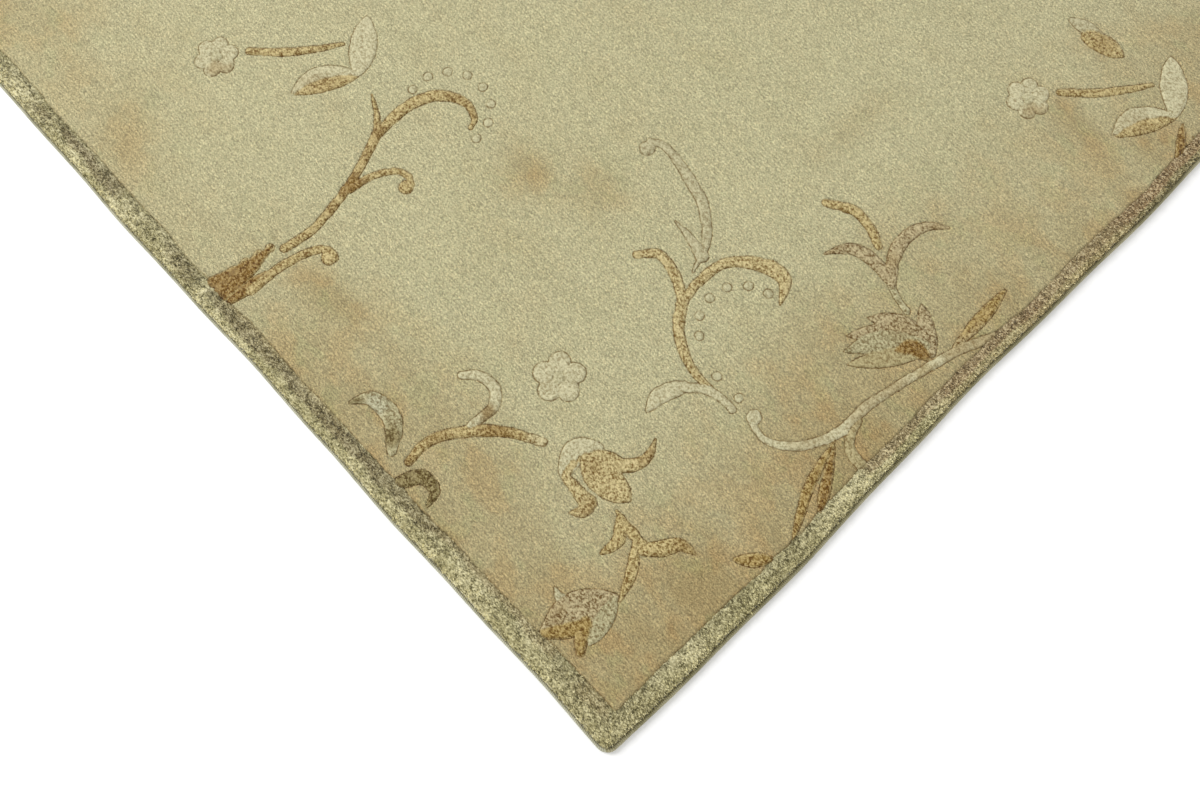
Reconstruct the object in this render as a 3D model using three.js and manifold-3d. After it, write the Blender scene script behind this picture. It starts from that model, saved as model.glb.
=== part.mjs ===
// Hand-knotted rug lying flat: wool field, raised silk border, silk vines and flowers, whipped edges.
// Millimetres, +Z up. X runs along the rug, Y across it, and the origin is under its centre.

import * as THREE from 'three';
import Module from 'manifold-3d';
import { mergeVertices } from 'three/addons/utils/BufferGeometryUtils.js';

// Overall size, over the whipped edges
const LENGTH = 1830;
const WIDTH = 1220;
const CORNER_RADIUS = 11;

// Heights above the floor
const FIELD_HEIGHT = 10;
const BORDER_CROWN = 11.2;
const BORDER_SHOULDER = 9.4;
const PILE_FOOT = 6;
const GROOVE_LIP = 9.7;
const GROOVE_FLOOR = 7.6;
const MOTIF_HEIGHT = 10.8;

// Silk border, from the outer edge to the cut line inside it, with its flare near the corners
const END_BORDER = 24;
const SIDE_BORDER = 19;
const CORNER_FLARE = 2.2;
const FLARE_REACH = 160;
const SHOULDER_INSET = 1.6;
const GROOVE_HALF_WIDTH = 1.6;

// Whipped edge yarn: a cord along each side and a thinner one along each end
const SIDE_CORD = { width: 4, height: 5 };
const END_CORD = { width: 2.8, height: 4 };
const GAP = 0.3;

// Section of a cord: share of its width inwards from the outer edge, and share of its height
const CORD_SECTION = [
  { inwards: 0, up: 0 },
  { inwards: 1, up: 0 },
  { inwards: 1, up: 0.55 },
  { inwards: 0.75, up: 1 },
  { inwards: 0.25, up: 1 },
  { inwards: 0, up: 0.55 },
];

// Outline unevenness: how far the edges bow, over what length, in two waves
const SIDE_BOW = [
  { depth: 1.9, wave: 470, near: 5.07, far: 1.1 },
  { depth: 0.5, wave: 145, near: 0.4, far: 2.3 },
];
const END_BOW = [
  { depth: 0.9, wave: 340, near: 1.94, far: 4.2 },
  { depth: 0.4, wave: 120, near: 1.2, far: 0.5 },
];
const BOW_FADE = 6;

// Steps round the outline
const SIDE_STEPS = 40;
const END_STEPS = 26;
const CORNER_STEPS = 4;

// The motifs repeat on two shifts, each half the repeat's length and half its width
const SHIFTS = [{ x: 500, y: -535 }, { x: 500, y: 535 }];
const SHIFT_REACH = 4;

// Silk strokes of one repeat. Each path is a few points, from the rug's near corner.
// A vine keeps its width, a leaf swells in its middle, and a horn narrows to its end.
const STROKES = [
  { motif: 'scroll', form: 'horn', width: 24, path: [[18, 510], [45, 500], [80, 503]] },
  { motif: 'scroll', form: 'vine', width: 7, path: [[88, 494], [150, 497], [218, 524]] },
  { motif: 'scroll', form: 'vine', width: 8, path: [[218, 523], [275, 515], [294, 493], [283, 473]] },
  { motif: 'scroll', form: 'horn', width: 6, path: [[218, 522], [240, 556]] },
  { motif: 'scroll', form: 'vine', width: 7, path: [[168, 498], [207, 478], [202, 466]], bulb: 8 },
  { motif: 'scroll', form: 'vine', width: 7, path: [[50, 482], [103, 475], [112, 463]], bulb: 9 },
  { motif: 'arch', form: 'vine', width: 8, path: [[262, 162], [290, 217], [325, 228], [352, 222]] },
  { motif: 'arch', form: 'vine', width: 8, path: [[352, 222], [380, 188], [366, 166]] },
  { motif: 'arch', form: 'vine', width: 8, path: [[303, 225], [320, 252], [304, 282]] },
  { motif: 'pale scroll', form: 'vine', width: 7, path: [[330, 238], [380, 275], [388, 338]] },
  { motif: 'pale scroll', form: 'vine', width: 7, path: [[388, 338], [379, 352]], bulb: 8 },
  { motif: 'pale scroll', form: 'horn', width: 6, path: [[340, 240], [349, 277]] },
  { motif: 'long vine', form: 'leaf', width: 26, path: [[213, 172], [230, 173], [250, 174]] },
  { motif: 'long vine', form: 'vine', width: 7, path: [[248, 172], [266, 142], [264, 112]] },
  { motif: 'long vine', form: 'vine', width: 7, path: [[272, 112], [280, 72], [340, 50]] },
  { motif: 'long vine', form: 'vine', width: 7, path: [[340, 50], [385, 46], [465, 20]] },
  { motif: 'long vine', form: 'vine', width: 6, path: [[345, 50], [318, 44], [309, 20]] },
  { motif: 'slender leaves', form: 'leaf', width: 10, path: [[222, 20], [262, 38], [305, 50]] },
  { motif: 'slender leaves', form: 'leaf', width: 9, path: [[255, 20], [280, 34], [303, 49]] },
  { motif: 'slender leaves', form: 'leaf', width: 11, path: [[176, 42], [190, 32], [204, 20]] },
  { motif: 'slender leaves', form: 'leaf', width: 11, path: [[438, 35], [470, 37], [507, 40]] },
  { motif: 'tulip', form: 'leaf', width: 26, path: [[416, 54], [390, 76], [364, 92]] },
  { motif: 'tulip', form: 'leaf', width: 20, path: [[420, 52], [398, 82], [378, 106]] },
  { motif: 'tulip', form: 'leaf', width: 22, path: [[420, 52], [414, 82], [400, 104]] },
  { motif: 'tulip', form: 'leaf', width: 20, path: [[424, 52], [436, 72], [444, 84]] },
  { motif: 'leaf pair', form: 'vine', width: 7, path: [[436, 96], [444, 145]] },
  { motif: 'leaf pair', form: 'leaf', width: 13, path: [[447, 136], [441, 160], [420, 172]] },
  { motif: 'leaf pair', form: 'leaf', width: 13, path: [[446, 110], [470, 130], [500, 128], [516, 110]] },
  { motif: 'leaf pair', form: 'vine', width: 8, path: [[456, 136], [469, 172], [452, 201]] },
  { motif: 'rose spray', form: 'vine', width: 6, path: [[684, 130], [752, 77]] },
  { motif: 'rose spray', form: 'leaf', width: 18, path: [[688, 72], [715, 66], [744, 44]] },
  { motif: 'rose spray', form: 'leaf', width: 24, path: [[744, 48], [764, 62], [786, 84]] },
  { motif: 'rose spray', form: 'leaf', width: 16, path: [[747, 152], [752, 134], [758, 114]] },
  { motif: 'rose spray', form: 'vine', width: 7, path: [[716, 20], [740, 34]] },
  { motif: 'crescents', form: 'horn', width: 15, path: [[44, 353], [62, 330], [44, 300]] },
  { motif: 'crescents', form: 'horn', width: 14, path: [[46, 244], [47, 262], [24, 274]] },
  { motif: 'bar and hook', form: 'vine', width: 8, path: [[42, 281], [90, 275], [134, 216]] },
  { motif: 'bar and hook', form: 'vine', width: 8, path: [[103, 266], [138, 276], [122, 306]] },
  { motif: 'blossom', form: 'leaf', width: 20, path: [[124, 180], [145, 196], [166, 176]] },
  { motif: 'blossom', form: 'leaf', width: 26, path: [[147, 182], [149, 162], [151, 134]] },
  { motif: 'blossom', form: 'leaf', width: 14, path: [[154, 182], [168, 160], [198, 152]] },
  { motif: 'blossom', form: 'leaf', width: 12, path: [[143, 184], [128, 168], [112, 156]] },
  { motif: 'three arms', form: 'horn', width: 8, path: [[128, 98], [137, 132]] },
  { motif: 'three arms', form: 'horn', width: 8, path: [[128, 112], [105, 119]] },
  { motif: 'three arms', form: 'leaf', width: 9, path: [[128, 106], [112, 90], [90, 80]] },
  { motif: 'three arms', form: 'leaf', width: 12, path: [[128, 102], [140, 84], [157, 70]] },
  { motif: 'lily', form: 'leaf', width: 28, path: [[48, 86], [66, 92], [87, 84]] },
  { motif: 'lily', form: 'leaf', width: 12, path: [[60, 92], [60, 108], [58, 124]] },
  { motif: 'lily', form: 'horn', width: 11, path: [[64, 80], [48, 92], [28, 104]] },
  { motif: 'lily', form: 'horn', width: 10, path: [[64, 86], [40, 72]] },
];
const ROSES = [
  { x: 178, y: 248, radius: 21, petals: 5 },
  { x: 662, y: 148, radius: 19, petals: 6 },
];
const SECTION_SPACING = 40;
const FEWEST_SECTIONS = { vine: 2, leaf: 3, horn: 2 };
const TIP_WIDTH = 1.4;
const PETAL_DEPTH = 0.2;
const MOTIF_MARGIN = 3;
const BURIED = 5;

const pileMaterial = new THREE.MeshStandardMaterial({ color: 0xbdb68c, roughness: 0.95, metalness: 0 });
const cordMaterial = new THREE.MeshStandardMaterial({ color: 0x9c987a, roughness: 0.9, metalness: 0 });

const wasm = await Module();
wasm.setup();

// How far the near or far edge of a pair stands out from its straight line, at a distance along it
function bow(waves, along, edge) {
  const swell = (wave) => wave.depth * Math.sin((2 * Math.PI * along) / wave.wave + wave[edge]);
  return waves.reduce((sum, wave) => sum + swell(wave), 0);
}

// Moves a plan point outwards or inwards with the nearest edge, fading out towards the middle
function settle(x, y) {
  const side = y < 0 ? 'near' : 'far';
  const end = x < 0 ? 'near' : 'far';
  const sideShare = Math.abs((2 * y) / WIDTH) ** BOW_FADE;
  const endShare = Math.abs((2 * x) / LENGTH) ** BOW_FADE;
  const dy = Math.sign(y) * sideShare * bow(SIDE_BOW, x, side);
  const dx = Math.sign(x) * endShare * bow(END_BOW, y, end);
  return [x + dx, y + dy];
}

// The border's extra width near a corner
function flare(distance) {
  return CORNER_FLARE * Math.exp(-distance / FLARE_REACH);
}

// One quarter of a plan ring: half of an end, a corner arc and half of a side, in the first quadrant.
// The share is how far across the border the ring lies, and takes that share of the flare.
function quarter(insetEnd, insetSide, share) {
  const radius = Math.max(CORNER_RADIUS - Math.min(insetEnd, insetSide), 1);
  const halfLength = LENGTH / 2 - insetEnd;
  const halfWidth = WIDTH / 2 - insetSide;
  const corner = flare(CORNER_RADIUS) * share;
  const points = [];
  for (let i = 0; i < END_STEPS / 2; i += 1) {
    const y = ((halfWidth - radius - corner) * 2 * (i + 0.5)) / END_STEPS;
    points.push([halfLength - flare(WIDTH / 2 - y) * share, y]);
  }
  for (let i = 0; i <= CORNER_STEPS; i += 1) {
    const turn = (Math.PI / 2) * (i / CORNER_STEPS);
    const x = halfLength - corner - radius + radius * Math.cos(turn);
    points.push([x, halfWidth - corner - radius + radius * Math.sin(turn)]);
  }
  for (let i = SIDE_STEPS / 2 - 1; i >= 0; i -= 1) {
    const x = ((halfLength - radius - corner) * 2 * (i + 0.5)) / SIDE_STEPS;
    points.push([x, halfWidth - flare(LENGTH / 2 - x) * share]);
  }
  return points;
}

// A whole plan ring, anticlockwise from the middle of the far end
function ring(insetEnd, insetSide, share, height) {
  const one = quarter(insetEnd, insetSide, share);
  const back = [...one].reverse();
  const all = [
    ...one,
    ...back.map(([x, y]) => [-x, y]),
    ...one.map(([x, y]) => [-x, -y]),
    ...back.map(([x, y]) => [x, -y]),
  ];
  return all.map(([x, y]) => new THREE.Vector3(...settle(x, y), height));
}

// A closed body through a stack of rings with equal counts, capped at the first and the last
function loft(rings) {
  const count = rings[0].length;
  const faces = [];
  for (let r = 0; r + 1 < rings.length; r += 1) {
    for (let i = 0; i < count; i += 1) {
      const j = (i + 1) % count;
      const [a, b, c, d] = [r * count + i, r * count + j, (r + 1) * count + i, (r + 1) * count + j];
      faces.push(a, b, d, a, d, c);
    }
  }
  const cap = (points, base, flip) => {
    const [u, v] = capAxes(points);
    const flat = points.map((p) => new THREE.Vector2(p.dot(u), p.dot(v)));
    const reversed = THREE.ShapeUtils.area(flat) < 0;
    for (const [a, b, c] of THREE.ShapeUtils.triangulateShape(flat, [])) {
      const turned = flip !== reversed;
      faces.push(base + a, base + (turned ? c : b), base + (turned ? b : c));
    }
  };
  cap(rings[0], 0, true);
  cap(rings[rings.length - 1], (rings.length - 1) * count, false);
  const geometry = new THREE.BufferGeometry();
  geometry.setFromPoints(rings.flat());
  geometry.setIndex(faces);
  return geometry;
}

// Two axes in the plane of a cap, so that its points run anticlockwise as given
function capAxes(points) {
  const normal = new THREE.Vector3();
  points.forEach((p, i) => normal.add(p.clone().cross(points[(i + 1) % points.length])));
  normal.normalize();
  const across = Math.abs(normal.z) > 0.7 ? new THREE.Vector3(1, 0, 0) : new THREE.Vector3(0, 0, 1);
  const u = across.sub(normal.clone().multiplyScalar(across.dot(normal))).normalize();
  return [u, normal.clone().cross(u)];
}

function toSolid(geometry) {
  const bare = new THREE.BufferGeometry();
  bare.setAttribute('position', geometry.getAttribute('position'));
  bare.setIndex(geometry.getIndex());
  const merged = mergeVertices(bare, 1e-4);
  const vertProperties = new Float32Array(merged.getAttribute('position').array);
  const triVerts = new Uint32Array(merged.getIndex().array);
  return new wasm.Manifold(new wasm.Mesh({ numProp: 3, vertProperties, triVerts }));
}

function toGeometry(solid) {
  const mesh = solid.getMesh();
  const geometry = new THREE.BufferGeometry();
  geometry.setAttribute('position', new THREE.BufferAttribute(new Float32Array(mesh.vertProperties), 3));
  geometry.setIndex(new THREE.BufferAttribute(new Uint32Array(mesh.triVerts), 1));
  geometry.computeVertexNormals();
  return geometry;
}

// The slab of the rug: its pile wall, the rounded border, the cut line and the level field
function slab() {
  const outEnd = END_CORD.width + GAP;
  const outSide = SIDE_CORD.width + GAP;
  const step = (inset, share, height) => ring(outEnd + inset, outSide + inset, share, height);
  const groove = (offset, height) => ring(END_BORDER + offset, SIDE_BORDER + offset, 1, height);
  const crown = ring((outEnd + END_BORDER) / 2, (outSide + SIDE_BORDER) / 2, 0.5, BORDER_CROWN);
  return loft([
    step(0, 0, 0),
    step(0, 0, PILE_FOOT),
    step(SHOULDER_INSET, 0, BORDER_SHOULDER),
    crown,
    groove(-GROOVE_HALF_WIDTH, GROOVE_LIP),
    groove(0, GROOVE_FLOOR),
    groove(GROOVE_HALF_WIDTH, FIELD_HEIGHT),
  ]);
}

// Half the width of a stroke at a share of its length
function halfWidth(form, width, t) {
  const leaf = Math.sin(Math.PI * t) ** 0.7;
  const full = { vine: 1, leaf, horn: 1 - 0.75 * t }[form];
  return Math.max(width * full, TIP_WIDTH) / 2;
}

// A low ribbon along a smooth path, sunk into the pile and standing a little above it
function ribbon({ form, width, path }, shift) {
  const spots = path.map(([x, y]) => new THREE.Vector2(x + shift.x - LENGTH / 2, y + shift.y - WIDTH / 2));
  const curve = new THREE.SplineCurve(spots);
  const sections = Math.max(FEWEST_SECTIONS[form], Math.round(curve.getLength() / SECTION_SPACING));
  const rings = [];
  for (let i = 0; i <= sections; i += 1) {
    const t = i / sections;
    const at = curve.getPoint(t);
    const side = curve.getTangent(t);
    const half = halfWidth(form, width, t);
    const left = [at.x - side.y * half, at.y + side.x * half];
    const right = [at.x + side.y * half, at.y - side.x * half];
    rings.push([
      new THREE.Vector3(...left, BURIED),
      new THREE.Vector3(...right, BURIED),
      new THREE.Vector3(...right, MOTIF_HEIGHT),
      new THREE.Vector3(...left, MOTIF_HEIGHT),
    ]);
  }
  return loft(rings.reverse());
}

// A flat-topped flower with scalloped petals, or with no petals a round bulb
function rose({ x, y, radius, petals }, shift) {
  const count = petals ? petals * 4 : 8;
  const rim = (height) => Array.from({ length: count }, (_, i) => {
    const turn = (2 * Math.PI * i) / count;
    const scallop = petals ? 1 - PETAL_DEPTH * (0.5 + 0.5 * Math.cos(petals * turn)) : 1;
    const reach = radius * scallop;
    const centre = [x + shift.x - LENGTH / 2, y + shift.y - WIDTH / 2];
    return new THREE.Vector3(centre[0] + reach * Math.cos(turn), centre[1] + reach * Math.sin(turn), height);
  });
  return loft([rim(BURIED), rim(MOTIF_HEIGHT)]);
}

// Every shift of the repeat that can reach the rug
function repeats() {
  const found = [];
  for (let i = -SHIFT_REACH; i <= SHIFT_REACH; i += 1) {
    for (let j = -SHIFT_REACH; j <= SHIFT_REACH; j += 1) {
      const [a, b] = SHIFTS;
      found.push({ x: i * a.x + j * b.x, y: i * a.y + j * b.y });
    }
  }
  return found;
}

// Whether a shifted path or centre lies at least partly on the field
function onField(points, shift) {
  return points.some(([x, y]) => {
    const [px, py] = [x + shift.x, y + shift.y];
    const alongField = px > END_BORDER && px < LENGTH - END_BORDER;
    return alongField && py > SIDE_BORDER && py < WIDTH - SIDE_BORDER;
  });
}

// All the raised silk motifs, cut off at the border's inner line
function motifs() {
  const pieces = [];
  for (const shift of repeats()) {
    for (const stroke of STROKES.filter(({ path }) => onField(path, shift))) {
      pieces.push(toSolid(ribbon(stroke, shift)));
      const [x, y] = stroke.path.at(-1);
      if (stroke.bulb) pieces.push(toSolid(rose({ x, y, radius: stroke.bulb, petals: 0 }, shift)));
    }
    for (const flower of ROSES.filter(({ x, y }) => onField([[x, y]], shift))) {
      pieces.push(toSolid(rose(flower, shift)));
    }
  }
  const inside = (height) => ring(END_BORDER + MOTIF_MARGIN, SIDE_BORDER + MOTIF_MARGIN, 1, height);
  const field = toSolid(loft([inside(BURIED - 1), inside(MOTIF_HEIGHT + 1)]));
  return wasm.Manifold.union(pieces).intersect(field);
}

// A cord's section drawn back towards its neighbour by half the gap, so that two cords don't touch
function drawnBack(section, neighbour) {
  return section.map((point, i) => {
    const step = neighbour[i].clone().sub(point);
    return point.clone().add(step.setLength(GAP / 2));
  });
}

// One whipped edge between two stations of the plan ring
function overcast(from, to, height) {
  const lane = ({ inwards, up }) => ring(END_CORD.width * inwards, SIDE_CORD.width * inwards, 0, height * up);
  const lanes = CORD_SECTION.map(lane);
  const count = lanes[0].length;
  const sections = [];
  for (let i = from; i <= to; i += 1) sections.push(lanes.map((one) => one[i % count]));
  const last = sections.length - 1;
  sections[0] = drawnBack(sections[0], sections[1]);
  sections[last] = drawnBack(sections[last], sections[last - 1]);
  return loft(sections);
}

// Stations of the plan ring at the middle of each rounded corner, anticlockwise from the far end
const QUARTER = END_STEPS / 2 + CORNER_STEPS + 1 + SIDE_STEPS / 2;
const FIRST_CORNER = END_STEPS / 2 + CORNER_STEPS / 2;
const CORNERS = [
  FIRST_CORNER,
  2 * QUARTER - 1 - FIRST_CORNER,
  2 * QUARTER + FIRST_CORNER,
  4 * QUARTER - 1 - FIRST_CORNER,
  4 * QUARTER + FIRST_CORNER,
];
const EDGES = [
  { name: 'side_overcast_far', corner: 0, height: SIDE_CORD.height },
  { name: 'end_overcast_near', corner: 1, height: END_CORD.height },
  { name: 'side_overcast_near', corner: 2, height: SIDE_CORD.height },
  { name: 'end_overcast_far', corner: 3, height: END_CORD.height },
];

function named(name, geometry, material) {
  const mesh = new THREE.Mesh(geometry, material);
  mesh.name = name;
  return mesh;
}

const rug = new THREE.Group();
rug.add(named('rug', toGeometry(toSolid(slab()).add(motifs())), pileMaterial));
for (const { name, corner, height } of EDGES) {
  const cord = overcast(CORNERS[corner], CORNERS[corner + 1], height);
  rug.add(named(name, cord, cordMaterial));
}

export default rug;
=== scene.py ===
import math

import bmesh
import bpy
import numpy as np
from mathutils import Matrix, Vector


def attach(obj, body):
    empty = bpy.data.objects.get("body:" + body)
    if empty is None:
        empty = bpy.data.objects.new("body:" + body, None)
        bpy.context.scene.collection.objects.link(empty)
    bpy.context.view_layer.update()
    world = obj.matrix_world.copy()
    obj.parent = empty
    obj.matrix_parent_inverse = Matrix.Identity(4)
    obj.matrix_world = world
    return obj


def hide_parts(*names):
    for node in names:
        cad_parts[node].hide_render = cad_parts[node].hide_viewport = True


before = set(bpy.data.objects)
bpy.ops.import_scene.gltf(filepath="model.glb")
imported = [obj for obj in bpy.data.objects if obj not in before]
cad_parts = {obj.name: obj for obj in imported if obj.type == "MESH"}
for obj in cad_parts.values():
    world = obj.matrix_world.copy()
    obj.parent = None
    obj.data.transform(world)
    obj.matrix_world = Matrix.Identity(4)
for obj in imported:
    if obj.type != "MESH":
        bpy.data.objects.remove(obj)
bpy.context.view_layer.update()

# Sizes in millimetres. The plan and the field's height are the solids' own.
MM = 0.001
LENGTH = 1830.0
WIDTH = 1220.0
CORNER_RADIUS = 11.0
FIELD_HEIGHT = 10.0
GROOVE_FLOOR = 8.7

# Border: its width, and how much wider it is at a corner and how far that reaches
END_BORDER = {"width": 22.5, "flare": 7.0, "reach": 230.0}
SIDE_BORDER = {"width": 17.4, "flare": 5.0, "reach": 420.0}

# Whipped edges, and the gap between them and the pile
SIDE_CORD = {"width": 4.0, "height": 5.0}
END_CORD = {"width": 2.8, "height": 4.0}
GAP = 0.3

# Soft bows of the edges: the phase of each wave on the near and the far edge, and how fast they
# fade out towards the middle of the rug
BOW_FADE = 6
SIDE_BOW = [
    {"depth": 1.9, "wave": 470.0, "near": 5.07, "far": 1.1},
    {"depth": 0.5, "wave": 145.0, "near": 0.4, "far": 2.3},
]
END_BOW = [
    {"depth": 0.9, "wave": 340.0, "near": 1.94, "far": 4.2},
    {"depth": 0.4, "wave": 120.0, "near": 1.2, "far": 0.5},
]

# Knots of the pile: rows run across the rug, and a row's knots stand side by side
ROW_PITCH = 3.15
KNOT_PITCH = 3.02

# The photograph's camera: its frame, focal length in pixels, and the rug's near corner in it
PHOTO_WIDTH = 1200
PHOTO_HEIGHT = 800
FOCAL_PIXELS = 985.0
SENSOR_WIDTH = 36.0
CAMERA_PITCH = math.radians(76.37)
CAMERA_ROLL = math.radians(-0.12)
CAMERA_HEADING = math.radians(46.17)
CORNER_PIXEL = (608.7, 761.9)
CORNER_DEPTH = 0.75

# Silk, wool, yarn and floor tones, linear
TONES = {
    "gold": (0.428, 0.332, 0.132),
    "straw": (0.468, 0.378, 0.168),
    "umber": (0.212, 0.112, 0.010),
    "amber": (0.310, 0.205, 0.050),
    "sand": (0.400, 0.335, 0.160),
    "cream": (0.555, 0.515, 0.312),
    "ivory": (0.480, 0.440, 0.260),
    "mauve": (0.378, 0.305, 0.158),
    "sage": (0.400, 0.362, 0.196),
    "celadon": (0.430, 0.430, 0.290),
    "olive": (0.175, 0.130, 0.036),
    "wool": (0.525, 0.490, 0.292),
    "tan": (0.375, 0.290, 0.135),
    "border": (0.300, 0.268, 0.128),
    "pale": (0.400, 0.362, 0.200),
    "moss": (0.225, 0.195, 0.082),
    "loam": (0.150, 0.110, 0.038),
    "bark": (0.290, 0.222, 0.098),
    "rosewood": (0.240, 0.160, 0.072),
    "khaki": (0.420, 0.390, 0.210),
    # Painted highlight that the silk's painted sheen mixes in
    "painted silk highlight": (0.720, 0.640, 0.380),
    "border light": (0.880, 0.840, 0.580),
    "fibre light": (0.720, 0.700, 0.560),
    "warp": (0.550, 0.520, 0.420),
    "side yarn": (0.340, 0.310, 0.150),
    "worn side yarn": (0.500, 0.460, 0.260),
    "end yarn": (0.420, 0.410, 0.270),
    "worn end yarn": (0.600, 0.590, 0.440),
    "floor": (0.950, 0.950, 0.945),
    "floor light": (0.970, 0.970, 0.965),
}

# Factors that turn a tone into another in some places
TINTS = {
    "blush": (1.05, 0.91, 0.80),
    "mossy": (0.92, 1.03, 0.98),
    "warm tuft": (1.10, 0.94, 0.80),
    "cool tuft": (0.92, 1.02, 0.98),
    # Painted shade and painted sheen on the silk's tufts
    "painted silk shade": (0.38, 0.25, 0.10),
    "painted silk sheen": (1.60, 1.62, 1.75),
    "outline": (0.36, 0.23, 0.08),
    "cut line": (0.34, 0.27, 0.17),
    "dark border": (0.26, 0.25, 0.14),
    "bright border": (1.50, 1.50, 1.45),
    # Painted shade between the whipped yarn's turns
    "painted shade between turns": (0.35, 0.31, 0.22),
    "back grain": (0.50, 0.46, 0.38),
}

# The motifs repeat on two shifts, each half the repeat's length and half its width
SHIFTS = [(500.0, -535.0), (500.0, 535.0)]
SHIFT_REACH = 4

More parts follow.
